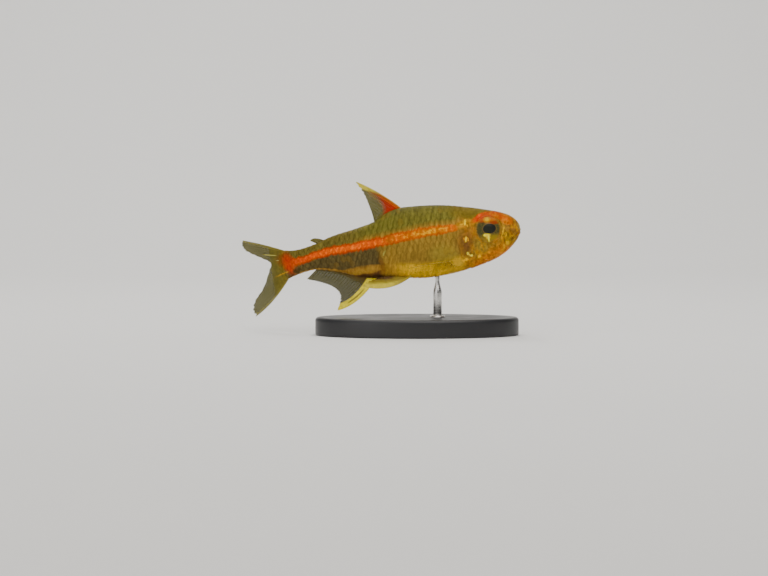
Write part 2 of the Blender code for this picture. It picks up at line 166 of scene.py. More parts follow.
def placed(behind, side, up):
    """Bend, tilt and lift points of the straight fish into the model's frame, in metres.

    The midline swings out with the square of the distance past its start, a point's side is
    measured square to it, and the whole fish is turned about Y by its pitch.
    """
    behind, side, up = np.broadcast_arrays(*(np.asarray(v, dtype=float) for v in (behind, side, up)))
    past = np.clip(behind - BEND_START, 0.0, None)
    turn = np.arctan(2 * BEND * past)
    ahead = -behind + side * np.sin(turn)
    left = BEND * past ** 2 + side * np.cos(turn)
    x = ahead * math.cos(PITCH) - up * math.sin(PITCH) + SNOUT_AHEAD
    z = ahead * math.sin(PITCH) + up * math.cos(PITCH) + SNOUT_HEIGHT
    return np.stack((x, left, z), axis=-1) * MM


def lifted(behind, angle, height):
    """A skin point moved out along its normal by a height, as a world point."""
    side, up = section_point(behind, angle)
    normal = section_normal(behind, angle)
    return placed(behind + normal[0] * height, side + normal[1] * height, up + normal[2] * height)


# %% [markdown]
# Every piece is a grid of points. One helper numbers the grid's cells. Two more close it: round
# and at both ends, as on a tube, or as two layers with a rim, as on a leaf. A last one makes the
# mesh object and hides the solids it stands for. A closed surface encloses a positive volume
# when its faces point outwards, so the helper tests just that.

# %% From grids of points to mesh pieces


def grid_cells(rows, columns, wrap=False):
    """Corner numbers of each cell, and the (row, column) of each corner before any wrap."""
    r, c = np.meshgrid(np.arange(rows - 1), np.arange(columns if wrap else columns - 1), indexing="ij")
    around = ((0, 0), (0, 1), (1, 1), (1, 0))
    corners = np.stack([np.stack((r + i, c + j), axis=-1) for i, j in around], axis=-2).reshape(-1, 4, 2)
    return corners[..., 0] * columns + corners[..., 1] % columns, corners.astype(float)


def tube_cells(rows, columns):
    """A grid that runs round, and fans from its two end rings to poles numbered after it."""
    cells, places = grid_cells(rows, columns, wrap=True)
    loop = np.arange(columns)
    following = (loop + 1) % columns
    pole, last = rows * columns, (rows - 1) * columns
    start = np.stack((np.full(columns, pole), following, loop), axis=-1)
    end = np.stack((np.full(columns, pole + 1), loop + last, following + last), axis=-1)
    return [cells, start, end], places


def leaf_cells(rows, columns):
    """Two layers of a grid that face apart, their rim, and every corner's (row, column)."""
    cells, places = grid_cells(rows, columns)
    count = rows * columns
    number = np.arange(count).reshape(rows, columns)
    edge = np.concatenate((number[0, :-1], number[:-1, -1], number[-1, :0:-1], number[:0:-1, 0]))
    following = np.roll(edge, -1)
    rim = np.stack((edge, edge + count, following + count, following), axis=-1)
    place = np.stack(np.divmod(np.arange(count), columns), axis=-1).astype(float)
    return [cells[:, ::-1], cells + count, rim], [places[:, ::-1], places, place[rim % count]]


def volume(points, faces):
    """Signed volume in a closed surface: each face's fan of triangles against the origin."""
    total = 0.0
    for block in faces:
        first = points[block[:, 0]]
        for k in range(1, block.shape[1] - 1):
            total += np.einsum("ij,ij->", first, np.cross(points[block[:, k]], points[block[:, k + 1]]))
    return total / 6


def add_piece(name, points, faces, replaces=(), uv=None, stage=False, crisp=None):
    """Make a mesh object from points and blocks of faces, hang it on the root and hide the solids it
    replaces.

    uv holds, for each map's name, one block of corner coordinates for each block of faces.
    Edges that turn by more than the angle crisp stay sharp; all others are shaded smooth.
    """
    points = np.asarray(points, dtype=float).reshape(-1, 3)
    uv = uv or {}
    if not stage and volume(points, faces) < 0:
        faces = [block[:, ::-1] for block in faces]
        uv = {key: [block[:, ::-1] for block in blocks] for key, blocks in uv.items()}
    mesh = bpy.data.meshes.new(name)
    mesh.from_pydata(points.tolist(), [], [corner for block in faces for corner in block.tolist()])
    for key, blocks in uv.items():
        layer = mesh.uv_layers.new(name=key)
        corners = np.concatenate([block.reshape(-1) for block in blocks])
        layer.data.foreach_set("uv", corners.astype(np.float32))
    mesh.shade_smooth()
    if crisp:
        mesh.set_sharp_from_angle(angle=crisp)
    piece = bpy.data.objects.new(name, mesh)
    bpy.context.scene.collection.objects.link(piece)
    if stage:
        return piece
    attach(piece, "root")
    if replaces:
        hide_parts(*replaces)
    print(f"{name}: {sum(len(b) * (b.shape[1] - 2) for b in faces)} triangles")
    return piece


def closed_sheet(middle, thickness):
    """Points half a thickness to each side of a grid of points, with the leaf's faces and corners."""
    normal = unit(np.cross(np.gradient(middle, axis=1), np.gradient(middle, axis=0)))
    offset = normal * np.broadcast_to(thickness, middle.shape[:2])[..., None] / 2
    points = np.concatenate(((middle + offset).reshape(-1, 3), (middle - offset).reshape(-1, 3)))
    return points, *leaf_cells(*middle.shape[:2])


# %% [markdown]
# Materials are node trees. Written out link by link they are hard to read, so a small class
# turns each node into a word: a formula such as mix(soft(x, 1, 2), a, b) builds its own nodes.

# %% A short language for node materials


class Finish:
    """A Principled material whose colours and bumps are written as formulas."""

    def __init__(self, name, **constants):
        self.material = bpy.data.materials.new(name)
        self.material.use_nodes = True
        self.tree = self.material.node_tree
        self.shader = self.tree.nodes["Principled BSDF"]
        for socket, value in constants.items():
            self.shader.inputs[socket.replace("_", " ")].default_value = value

    def add(self, kind, sockets, output=0, **settings):
        """Add a node, set it up, fill its sockets with values or links, and return an output."""
        node = self.tree.nodes.new(kind)
        for key, value in settings.items():
            setattr(node, key, value)
        for key, value in sockets.items():
            if isinstance(value, bpy.types.NodeSocket):
                self.tree.links.new(value, node.inputs[key])
            else:
                node.inputs[key].default_value = value
        return node.outputs[output]

    def math(self, operation, a, b=0.0, c=0.0):
        """One sum on numbers."""
        return self.add("ShaderNodeMath", {0: a, 1: b, 2: c}, operation=operation)

    def times(self, a, b):
        """The product of two numbers."""
        return self.math("MULTIPLY", a, b)

    def minus(self, a, b):
        """The difference of two numbers."""
        return self.math("SUBTRACT", a, b)

    def larger(self, a, b):
        """The larger of two numbers."""
        return self.math("MAXIMUM", a, b)

    def size(self, a):
        """A number without its sign."""
        return self.math("ABSOLUTE", a)

    def soft(self, x, low, high, bottom=0.0, top=1.0):
        """Smooth step from bottom to top while x goes from low to high."""
        sockets = {"Value": x, "From Min": low, "From Max": high, "To Min": bottom, "To Max": top}
        return self.add("ShaderNodeMapRange", sockets, interpolation_type="SMOOTHSTEP")

    def near(self, x, centre, outer, inner):
        """1 where x is within inner of a centre, and 0 from outer on."""
        return self.soft(self.size(self.minus(x, centre)), outer, inner)

    def mix(self, share, a, b, blend="MIX"):
        """Blend two colours; a share of 1 gives the second one."""
        a, b = ((*v, 1.0) if isinstance(v, tuple) and len(v) == 3 else v for v in (a, b))
        return self.add("ShaderNodeMix", {0: share, 6: a, 7: b}, 2, data_type="RGBA", blend_type=blend)

    def lit(self, colour, level):
        """A colour times a level."""
        return self.mix(1.0, colour, self.vector(level, level, level), "MULTIPLY")

    def noise(self, vector, scale, detail=2.0, output=0):
        """Cloudy noise between 0 and 1, or as a vector with output 1."""
        return self.add("ShaderNodeTexNoise", {"Vector": vector, "Scale": scale, "Detail": detail}, output)

    def vector(self, x, y, z=0.0):
        """Three numbers as one vector."""
        return self.add("ShaderNodeCombineXYZ", {0: x, 1: y, 2: z})

    def vectors(self, operation, a, b):
        """One sum on vectors."""
        return self.add("ShaderNodeVectorMath", {0: a, 1: b}, operation=operation)

    def split(self, vector):
        """The three numbers of a vector."""
        return list(self.add("ShaderNodeSeparateXYZ", {0: vector}).node.outputs)

    def length(self, vector):
        """The length of a vector."""
        return self.add("ShaderNodeVectorMath", {0: vector}, 1, operation="LENGTH")

    def wander(self, vector, scale, reach):
        """Places that cloudy noise shifts by up to half a reach to each side."""
        drift = self.vectors("SUBTRACT", self.noise(vector, scale, 2.0, 1), (0.5, 0.5, 0.5))
        shift = self.add("ShaderNodeVectorMath", {0: drift, "Scale": reach}, operation="SCALE")
        return self.vectors("ADD", vector, shift)

    def uv(self, name):
        """A UV map of the piece, split into its two numbers."""
        return self.split(self.add("ShaderNodeUVMap", {}, uv_map=name))[:2]

    def place(self):
        """Object coordinates, in metres."""
        return self.add("ShaderNodeTexCoord", {}, 3)

    def fish(self):
        """Object coordinates turned into fish millimetres: (minus behind, side, up)."""
        sockets = {"Vector": self.place(), "Location": (SNOUT_AHEAD * MM, 0.0, SNOUT_HEIGHT * MM),
                   "Rotation": (0.0, -PITCH, 0.0), "Scale": (MM, MM, MM)}
        return self.add("ShaderNodeMapping", sockets, vector_type="TEXTURE")

    def outwards(self, vector, centre, half, turn=0.0):
        """Distance from a centre, as a share of the half axes of an ellipsoid."""
        sockets = {"Vector": vector, "Location": centre, "Scale": half,
                   "Rotation": (0.0, math.radians(turn), 0.0)}
        return self.length(self.add("ShaderNodeMapping", sockets, vector_type="TEXTURE"))

    def inside(self, distance, softness):
        """1 inside an ellipse and 0 outside, fading over a softness across its edge."""
        return self.soft(distance, 1 + softness / 2, 1 - softness / 2)

    def follow(self, x, points, x_range, y_range):
        """A smooth curve through points, such as the height of a stripe along the body."""
        node = self.tree.nodes.new("ShaderNodeFloatCurve")
        share = self.add("ShaderNodeMapRange", {"Value": x, "From Min": x_range[0], "From Max": x_range[1]})
        self.tree.links.new(share, node.inputs["Value"])
        curve = node.mapping.curves[0]
        spans = [high - low for low, high in (x_range, y_range)]
        places = [((px - x_range[0]) / spans[0], (py - y_range[0]) / spans[1]) for px, py in points]
        curve.points[0].location = places[0]
        curve.points[1].location = places[-1]
        for place in places[1:-1]:
            curve.points.new(*place)
        node.mapping.update()
        return self.math("MULTIPLY_ADD", node.outputs[0], spans[1], y_range[0])

    def bump(self, height, strength, distance):
        """Tilt the shading by a height field, in metres of relief."""
        sockets = {"Height": height, "Strength": strength, "Distance": distance}
        self.tree.links.new(self.add("ShaderNodeBump", sockets), self.shader.inputs["Normal"])

    def use(self, **sockets):
        """Link finished formulas to the shader's sockets."""
        for key, value in sockets.items():
            self.tree.links.new(value, self.shader.inputs[key.replace("_", " ")])
        return self.material


# %% [markdown]
# The markings are one recipe, used by the skin and by the scales, so both carry the same colours
# wherever they lie. The recipe works in the fish's own side view. It lays down back, flank and
# belly, then the stripe along its curve, then the named patches of the head and the tail root.

# %% The markings that skin and scales share
# Each path gives a height, or a half width, at distances behind the snout
STRIPE_PATH = ((0.0, 2.1), (8.9, 2.06), (13.75, 2.0), (20.6, 1.46), (24.1, 1.24), (27.5, 1.02),
               (30.3, 0.42), (32.6, 0.0), (40.0, 0.0))
STRIPE_HALF = ((0.0, 0.20), (8.2, 0.26), (9.6, 0.40), (12.0, 0.50), (16.0, 0.52), (22.0, 0.50),
               (27.0, 0.46), (30.0, 0.42), (32.6, 0.50), (40.0, 0.50))
BELLY_PATH = ((0.0, -3.2), (8.0, -3.9), (14.4, -4.24), (17.9, -3.62), (19.9, -3.46), (22.0, -3.16),
              (26.1, -1.73), (28.9, -1.20), (33.0, -2.1), (40.0, -2.1))
# The orange band over the anal fin, and the glow that arches over the eye
ANAL_PATH = ((0.0, -2.0), (19.5, -1.95), (20.6, -2.02), (22.7, -2.06), (24.75, -1.97), (26.1, -1.58),
             (27.5, -1.22), (28.9, -1.10), (31.0, -1.42), (33.0, -2.0), (40.0, -2.0))
ANAL_HALF = ((0.0, 0.30), (19.5, 0.36), (20.6, 0.52), (22.7, 0.56), (24.75, 0.30), (26.1, 0.18),
             (27.5, 0.12), (30.0, 0.09), (31.5, 0.03), (40.0, 0.03))
GLOW_PATH = ((0.0, 1.40), (0.9, 1.78), (1.6, 2.12), (2.4, 2.55), (3.2, 2.98), (4.26, 3.26),
             (5.2, 3.06), (6.3, 2.66), (7.2, 2.50), (12.0, 2.40))
GLOW_HALF = ((0.0, 0.25), (0.9, 0.38), (1.6, 0.52), (2.4, 0.58), (3.2, 0.50), (4.26, 0.36),
             (5.2, 0.40), (6.0, 0.36), (6.8, 0.20), (12.0, 0.10))
HEAD_VIEW = (0.0, 12.0)
SIDE_VIEW = (0.0, 40.0)
HEIGHTS = (-8.0, 8.0)
WIDTHS = (0.0, 1.0)

# Colours: back and flank
BACK = (0.128, 0.116, 0.017)
BACK_RIDGE = (0.092, 0.086, 0.016)
UNDER_BACK = (0.325, 0.170, 0.020)
REAR_BACK = (0.124, 0.098, 0.018)
FLANK = (0.255, 0.154, 0.022)
GOLD = (0.820, 0.480, 0.010)
REAR_GOLD = (0.420, 0.230, 0.024)
DUSK = (0.090, 0.066, 0.022)
ANAL_LINE = (0.320, 0.165, 0.024)
SHEATH = (0.105, 0.045, 0.016)
# The stripe's core, edge and painted glints of its scales, towards the head and towards the tail
CORE_FRONT = (0.560, 0.160, 0.0003)
CORE_REAR = (0.690, 0.092, 0.0003)
EDGE_FRONT = (0.480, 0.080, 0.0003)
EDGE_REAR = (0.420, 0.034, 0.0003)
GLINT_FRONT = (0.740, 0.350, 0.0004)
GLINT_REAR = (0.800, 0.150, 0.0004)
# The head's ground, the tail fin's root, and the glow over the eye from front to rear
HEAD = (0.320, 0.165, 0.018)
OLIVE_ROOT = (0.150, 0.116, 0.014)
GLOW_FRONT = (0.500, 0.106, 0.0002)
GLOW_TOP = (0.340, 0.048, 0.0002)
GLOW_REAR = (0.480, 0.036, 0.0003)

# %% Marks of the head, belly and tail root
# Centre behind and up, half length, half height, turn in degrees, softness, share, colour
CLOUDS = (
    (6.4, 3.9, 3.4, 1.1, 14, 0.9, 0.92, (0.128, 0.096, 0.008)),     # olive nape
    (4.3, -2.75, 3.6, 1.00, -22, 0.9, 0.92, (0.600, 0.175, 0.0006)),   # orange throat and lower cheek
    (6.2, -0.9, 1.5, 1.2, 0, 0.9, 0.75, (0.270, 0.190, 0.022)),      # olive cheek
    (1.5, -0.6, 1.4, 0.9, 40, 0.9, 0.85, (0.250, 0.142, 0.004)),     # olive jaw
    (0.9, 1.0, 1.0, 1.0, 0, 0.9, 0.80, (0.205, 0.092, 0.018)),       # snout
    (1.35, 0.1, 0.16, 0.75, -14, 0.9, 0.55, (0.200, 0.075, 0.006)),  # brown streak down the snout
    (7.3, 2.40, 1.6, 0.50, -8, 0.9, 0.80, (0.430, 0.200, 0.003)),    # golden bridge from eye to stripe
    (11.0, -1.3, 2.0, 1.30, 0, 1.0, 0.60, (0.275, 0.205, 0.026)),    # greener flank behind the gills
    (9.5, -3.4, 1.5, 0.80, -6, 1.5, 0.75, (0.640, 0.370, 0.022)),    # browner front of the belly
    (9.4, 2.05, 0.80, 0.42, 0, 0.9, 0.75, (0.600, 0.118, 0.0004)),   # the stripe starts orange
    (17.9, 1.70, 0.60, 0.55, 0, 0.9, 0.45, (0.360, 0.130, 0.010)),   # dimmer stretch of the stripe
    (29.9, 0.50, 1.60, 0.30, -13, 0.9, 0.60, (0.660, 0.056, 0.0004)), # and ends red
    (19.5, -1.6, 0.30, 1.1, -8, 0.9, 0.60, (0.170, 0.062, 0.010)),   # red-brown edge of the belly's gold
    (22.3, -2.15, 1.80, 0.34, -6, 0.9, 0.65, (0.430, 0.245, 0.028)), # gold over the anal fin's front
    (21.2, -3.10, 1.8, 0.36, 10, 0.9, 0.88, (0.080, 0.038, 0.014)),  # dusky vent
    (33.2, 0.7, 0.9, 0.8, 0, 1.0, 0.55, (0.240, 0.050, 0.006)),      # dull red that runs into the tail fin
    (32.30, 0.10, 0.70, 1.40, -12, 1.2, 0.95, (0.470, 0.038, 0.008)),# red root of the tail fin
    (31.35, -0.95, 0.62, 0.34, -14, 0.8, 0.90, (0.060, 0.036, 0.010)), # dusk under it
)
SPOTS = (
    (7.68, 0.0, 1.10, 1.65, 14, 1.4, 0.88, (0.178, 0.078, 0.018)),   # gills, dark through the cover
    (7.70, -0.80, 0.42, 0.60, 0, 1.2, 0.40, (0.110, 0.044, 0.018)),
    (1.98, 1.90, 0.62, 0.34, 30, 0.9, 0.85, (0.580, 0.168, 0.0003)), # yellow-orange before the eye
    (3.20, 2.85, 0.50, 0.24, 30, 0.9, 0.75, (0.480, 0.130, 0.0003)),
    (0.12, 0.95, 0.20, 0.60, -12, 0.9, 0.85, (0.420, 0.310, 0.060)), # painted highlight on the upper lip
    (7.49, 2.60, 0.12, 0.40, 12, 0.8, 1.00, (0.980, 0.680, 0.003)),  # bright spots: silvery marks of the cheek and gill cover, painted with their highlights
    (7.95, 2.38, 0.30, 0.10, -8, 0.9, 0.70, (0.860, 0.460, 0.002)),
    (7.20, 2.08, 0.12, 0.20, 0, 0.9, 0.80, (0.840, 0.420, 0.002)),
    (7.70, 0.30, 0.11, 0.34, 10, 0.8, 1.00, (0.980, 0.620, 0.006)),
    (7.40, 0.26, 0.09, 0.22, 0, 0.9, 0.90, (0.900, 0.420, 0.003)),
    (7.95, 0.40, 0.08, 0.16, 0, 0.9, 0.80, (0.820, 0.320, 0.002)),
    (7.66, -1.66, 0.15, 0.17, 0, 0.8, 1.00, (1.000, 0.800, 0.060)),
    (7.42, -1.92, 0.10, 0.13, 0, 0.8, 0.90, (0.960, 0.700, 0.040)),
    (7.16, -2.02, 0.16, 0.18, 0, 0.8, 1.00, (1.000, 0.780, 0.060)),
    (8.20, -2.55, 0.52, 0.17, -14, 0.9, 0.95, (0.960, 0.540, 0.002)),
    (6.18, -2.35, 0.24, 0.22, 0, 0.9, 0.90, (0.920, 0.480, 0.002)),
    (4.80, -1.95, 0.22, 0.20, 0, 0.9, 0.70, (0.820, 0.330, 0.002)),
    (2.10, -0.98, 0.26, 0.30, 0, 0.9, 0.80, (0.720, 0.400, 0.002)),
    (2.62, -1.44, 0.18, 0.30, 0, 0.9, 0.80, (0.640, 0.330, 0.002)),
    (2.50, 0.60, 0.09, 0.70, 22, 0.9, 0.85, (0.880, 0.480, 0.006)),  # painted highlight on the rim before the eye
    (2.12, 0.16, 0.08, 0.34, 6, 0.9, 0.80, (0.820, 0.440, 0.006)),
    (18.97, 0.00, 0.12, 0.42, 26, 0.9, 0.70, (0.400, 0.360, 0.070)), # painted glint of one scale on the flank
    (33.55, -1.25, 1.05, 0.08, -16, 0.9, 0.80, (0.560, 0.270, 0.006)), # golden streak on the lower lobe's rays, a painted highlight
)


# %% The recipe
def hatching(f, raw):
    """Upright streaks that lean forward: cloudy noise, stretched along x minus 0.3 up."""
    x, side, up = f.split(raw)
    lean = f.math("MULTIPLY_ADD", up, -0.30, x)
    return f.noise(f.vector(f.times(lean, 3.8), f.times(side, 0.4), f.times(up, 0.7)), 1.0, 3.0)


def painted(f, place, colour, patches):
    """Lay ellipses of colour over a colour, one after the other, as deep as the fish is wide."""
    for behind, up, length, height, turn, softness, strength, paint in patches:
        distance = f.outwards(place, (-behind, 0.0, up), (length, 1e6, height), turn)
        colour = f.mix(f.times(f.inside(distance, softness), strength), colour, paint)
    return colour


def band_places(f, behind, up, path, half, view):
    """Height over a band's middle line, and its size as a share of the band's half width."""
    over = f.minus(up, f.follow(behind, path, view, HEIGHTS))
    return over, f.math("DIVIDE", f.size(over), f.follow(behind, half, view, WIDTHS))


def ground(f, behind, up, over):
    """Olive back, golden flank and belly, and a dusky rear with an orange line over the fin."""
    back = f.mix(f.soft(over, 0.4, 1.5), UNDER_BACK, BACK)
    back = f.mix(f.soft(over, 2.4, 3.8), back, BACK_RIDGE)
    back = f.mix(f.soft(behind, 20.5, 24.0), back, REAR_BACK)
    above_belly = f.minus(up, f.follow(behind, BELLY_PATH, SIDE_VIEW, HEIGHTS))
    gold = f.mix(f.soft(behind, 15.5, 18.5), GOLD, REAR_GOLD)
    front = f.mix(f.soft(above_belly, 2.5, 1.3), FLANK, gold)
    off_line, line = band_places(f, behind, up, ANAL_PATH, ANAL_HALF, SIDE_VIEW)
    rear = f.mix(f.soft(off_line, 0.15, -0.25), DUSK, SHEATH)
    rear = f.mix(f.soft(line, 1.35, 0.60), rear, ANAL_LINE)
    return f.mix(f.soft(over, 0.1, -0.7), back, f.mix(f.soft(behind, 18.8, 20.2), front, rear))


def stripe_colour(f, raw, behind, share):
    """A bright core with painted glints of its scales and a deeper edge, all of them redder to the rear."""
    to_rear = f.soft(behind, 12.5, 21.0)
    core = f.mix(to_rear, CORE_FRONT, CORE_REAR)
    edge = f.mix(to_rear, EDGE_FRONT, EDGE_REAR)
    # Painted highlights: bright specks where the stripe's scales catch the light
    glints = f.times(f.soft(f.noise(raw, 2.6, 3.0), 0.52, 0.62), f.soft(share, 0.90, 0.35))
    glow = f.mix(f.soft(share, 0.40, 1.15), core, edge)
    return f.mix(glints, glow, f.mix(to_rear, GLINT_FRONT, GLINT_REAR))


def mottled(f, raw, low, colour):
    """Orange blush, golden flecks and brown specks over the lower head, and the flecks' noise."""
    tall = f.vectors("MULTIPLY", raw, (2.6, 1.6, 1.35))
    fleck = f.noise(tall, 1.0, 3.0)
    for noise, none, full, strength, paint in (
            (f.noise(tall, 0.5, 3.0), 0.46, 0.62, 0.65, (0.480, 0.165, 0.001)),
            (fleck, 0.53, 0.66, 0.42, (0.620, 0.320, 0.002)),
            (fleck, 0.48, 0.36, 0.52, (0.130, 0.066, 0.006))):
        colour = f.mix(f.times(f.soft(noise, none, full), f.times(low, strength)), colour, paint)
    return colour, fleck


def markings(f):
    """Colour of the fish, its place, its height over the stripe and the glow's share, as sockets."""
    raw = f.fish()
    fish = f.wander(raw, 1.1, 0.45)
    x, _, up = f.split(fish)
    behind = f.times(x, -1.0)
    over, share = band_places(f, behind, up, STRIPE_PATH, STRIPE_HALF, SIDE_VIEW)
    streak = hatching(f, raw)
    share = f.math("MULTIPLY_ADD", f.minus(streak, 0.5), 0.9, share)
    stripe = f.times(f.soft(share, 1.65, 0.80), f.soft(behind, 7.8, 9.2))
    colour = f.lit(ground(f, behind, up, over), f.soft(streak, 0.30, 0.70, 0.78, 1.20))
    colour = f.mix(stripe, colour, stripe_colour(f, raw, behind, share))

    head = f.soft(behind, 9.2, 7.6)
    colour = f.mix(head, colour, HEAD)
    colour = f.mix(f.soft(behind, 32.3, 33.4), colour, OLIVE_ROOT)
    colour = painted(f, fish, colour, CLOUDS)
    colour, fleck = mottled(f, raw, f.times(head, f.soft(up, 3.4, 2.2)), colour)
    arch = band_places(f, behind, up, GLOW_PATH, GLOW_HALF, HEAD_VIEW)[1]
    ends = f.times(f.soft(behind, 7.0, 6.0), f.soft(behind, 0.7, 1.4))
    glow = f.times(f.soft(arch, 1.40, 0.70), ends)
    tint = f.mix(f.soft(behind, 4.2, 5.6), GLOW_TOP, GLOW_REAR)
    tint = f.mix(f.soft(behind, 1.6, 2.8), GLOW_FRONT, tint)
    tint = f.mix(f.times(f.soft(fleck, 0.50, 0.62), 0.45), tint, (0.520, 0.125, 0.0003))
    colour = f.mix(glow, colour, tint)
    colour = painted(f, f.wander(raw, 6.0, 0.42), colour, SPOTS)
    dots = f.times(f.soft(f.noise(raw, 9.0, 1.0), 0.64, 0.72), 0.35)
    return f.mix(dots, colour, (0.080, 0.045, 0.008)), raw, over, f.larger(stripe, glow)


# %% [markdown]
# The skin is one grid, 435 rings long and 208 points round, closed at the snout and inside the
# tail fin. Lips, jaw bone, nostrils, eye rims and gill covers are relief: a height field over the
# side view that pushes the points out or in along their normals. Folds are bell curves across a
# line, and the gill cover ends in a step, because it is a plate that lies over the trunk.

# %% Relief of the head
EYE_BEHIND = 4.47
EYE_UP = 1.24
EYE_RADIUS = 1.86
MOUTH_CORNER = 1.65
MOUTH_FRONT_UP = 0.34
MOUTH_SLOPE = 0.56              # fall of the mouth line, per mm backwards
LIP_OFFSET = 0.20
GILL_EDGE = 8.9                 # hind edge of the gill cover at the snout's level
GILL_CURVE = 0.10
GILL_TOP = 2.3                  # the gill slit ends here, under the nape
NOSTRILS = ((1.62, 1.62), (2.02, 1.86))


def distance_to_path(behind, up, path):
    """Distance in the side view to the nearest of a few straight stretches."""
    nearest = np.full(np.shape(behind), np.inf)
    for (b0, u0), (b1, u1) in zip(path, path[1:]):
        length = (b1 - b0) ** 2 + (u1 - u0) ** 2
        share = np.clip(((behind - b0) * (b1 - b0) + (up - u0) * (u1 - u0)) / length, 0.0, 1.0)
        nearest = np.minimum(nearest, np.hypot(behind - b0 - share * (b1 - b0), up - u0 - share * (u1 - u0)))
    return nearest


def arc(centre, radius, start, end, flatten=1.0, steps=14):
    """Points along an arc of the side view; angles in degrees, 0 backwards and 90 upwards."""
    turn = np.radians(np.linspace(start, end, steps))
    return list(zip(centre[0] + radius * np.cos(turn), centre[1] + radius * flatten * np.sin(turn)))


CHEEK_CENTRE = (3.9, -0.2)
CHEEK_RADIUS = 2.95
PREOPERCLE = arc(CHEEK_CENTRE, CHEEK_RADIUS, 38, -62)
INTEROPERCLE = arc((3.6, -0.2), 3.75, -28, -74, 0.93)
CHEEK_RING = arc((EYE_BEHIND, EYE_UP), 2.75, -20, -120, 0.95)
UPPER_JAW = ((0.85, 0.10), (1.55, -0.40), (2.20, -0.85))
# Fine grooves: between opercle and subopercle, the throat's folds, and between the cheek's plates
GROOVES = (
    ((6.70, -1.30), (7.40, -1.75), (8.40, -1.98)),
    ((3.60, -2.45), (5.20, -3.02), (6.90, -3.05), (8.10, -2.72)),
    ((4.40, -2.95), (5.80, -3.35), (7.30, -3.32), (8.40, -2.98)),
    ((5.55, -0.35), (5.95, -0.95)),
    ((3.70, -0.68), (3.40, -1.35)),
    ((6.40, 1.50), (7.10, 1.62)),
)
PORES = ((2.55, 1.00), (2.62, 0.20), (3.05, -0.62), (3.80, -1.12), (4.75, -1.30), (5.60, -1.02),
         (6.25, -0.42), (6.55, 1.95), (5.60, 3.10), (4.55, 3.42), (3.40, 3.05), (2.75, 2.55),
         (6.30, -1.95), (5.30, -2.62))


def gill_edge(up):
    """Where the gill cover ends: it runs forward with the square of the height."""
    return GILL_EDGE - GILL_CURVE * up ** 2


def relief(behind, up):
    """Height of the skin over the body's plain surface, in mm, at places of the side view."""
    scaled = smooth(behind - gill_edge(up), -0.05, 1.3)
    height = -COAT_DEPTH * scaled
    slit = smooth(up, GILL_TOP, GILL_TOP - 0.5)
    past = behind - gill_edge(up)
    plate = 0.05 * smooth(past, -1.6, -0.1) * smooth(past, 0.02, -0.02)
    groove = -0.06 * smooth(past, -0.02, 0.02) * smooth(past, 0.9, 0.1)
    height = height + slit * (plate + groove)

    mouth = up - (MOUTH_FRONT_UP - MOUTH_SLOPE * behind)
    lips = smooth(behind, MOUTH_CORNER + 0.25, MOUTH_CORNER - 0.25)
    jaw = smooth(behind, 2.4, 2.0)
    for rise, stretch, level, width in (
            (0.035, lips, -LIP_OFFSET, 0.15), (0.04, jaw, LIP_OFFSET, 0.14), (-0.09, lips, 0.0, 0.045),
            (-0.035, lips, 0.44, 0.09), (-0.03, lips, -0.46, 0.10)):
        height = height + rise * stretch * bell(mouth - level, width)

    for nostril in NOSTRILS:
        r = np.hypot(behind - nostril[0], up - nostril[1])
        height = height - 0.16 * bell(r, 0.12) + 0.03 * bell(r - 0.19, 0.06)

    r = np.hypot(behind - EYE_BEHIND, up - EYE_UP)
    height = height - 0.75 * smooth(r, EYE_RADIUS - 0.02, EYE_RADIUS - 0.30)
    height = height + 0.025 * bell(r - EYE_RADIUS - 0.08, 0.10) - 0.02 * bell(r - EYE_RADIUS - 0.42, 0.16)

    height = height + 0.035 * bell(distance_to_path(behind, up, CHEEK_RING), 0.16)
    ridge = distance_to_path(behind, up, PREOPERCLE)
    inner = np.hypot(behind - CHEEK_CENTRE[0], up - CHEEK_CENTRE[1]) - CHEEK_RADIUS
    height = height + 0.045 * bell(ridge, 0.12) - 0.05 * bell(ridge, 0.30) * smooth(inner, 0.0, 0.14)
    height = height - 0.05 * bell(distance_to_path(behind, up, INTEROPERCLE), 0.09)
    height = height + 0.030 * bell(distance_to_path(behind, up, UPPER_JAW), 0.15)
    for groove in GROOVES:
        height = height - 0.028 * bell(distance_to_path(behind, up, groove), 0.075)
    for pore in PORES:
        height = height - 0.035 * bell(np.hypot(behind - pore[0], up - pore[1]), 0.075)
    return height


# %% The skin
HEAD_RINGS = 275
BODY_RINGS = 160
AROUND = 208
HEAD_END = 9.6


def skin_rings():
    """Distances of the rings: close at the snout, even along the head, wider on the trunk."""
    head = 0.004 + (HEAD_END - 0.004) * np.linspace(0, 1, HEAD_RINGS) ** 1.5
    trunk = np.linspace(HEAD_END, BODY_END, BODY_RINGS + 1)[1:]
    return np.concatenate((head, trunk))


def make_skin():
    """Lift the body grid by the relief, and close it with fans of triangles at both ends."""
    rings = skin_rings()
    angle = np.arange(AROUND) * 2 * math.pi / AROUND - math.pi / 2
    behind, turn = np.meshgrid(rings, angle, indexing="ij")
    side, up = section_point(behind, turn)
    points = lifted(behind, turn, relief(behind, up)).reshape(-1, 3)
    poles = [ring.mean(axis=0) for ring in (points[:AROUND], points[-AROUND:])]
    faces, places = tube_cells(len(rings), AROUND)

    def unwrap(ring, column):
        """Distance along the body and share of the way round, both from 0 to 1."""
        along = np.interp(ring, np.arange(len(rings)), rings) / BODY_END
        return np.stack((along, column / AROUND), axis=-1)

    loop = np.arange(AROUND)
    start = unwrap(np.zeros((AROUND, 3)), np.stack((loop + 0.5, loop + 1.0, loop), axis=-1))
    end = unwrap(np.full((AROUND, 3), len(rings) - 1.0), np.stack((loop + 0.5, loop, loop + 1.0), axis=-1))
    uv = {"OFBake": [unwrap(places[..., 0], places[..., 1]), start, end]}
    points = np.concatenate((points, poles))
    return add_piece("skin", points, faces, ("head", "trunk", "tail_stalk"), uv)


skin = make_skin()

# %% The skin's finish
WATER = 1.33                    # index of refraction of the wet coat on skin, scales, eyes and fins


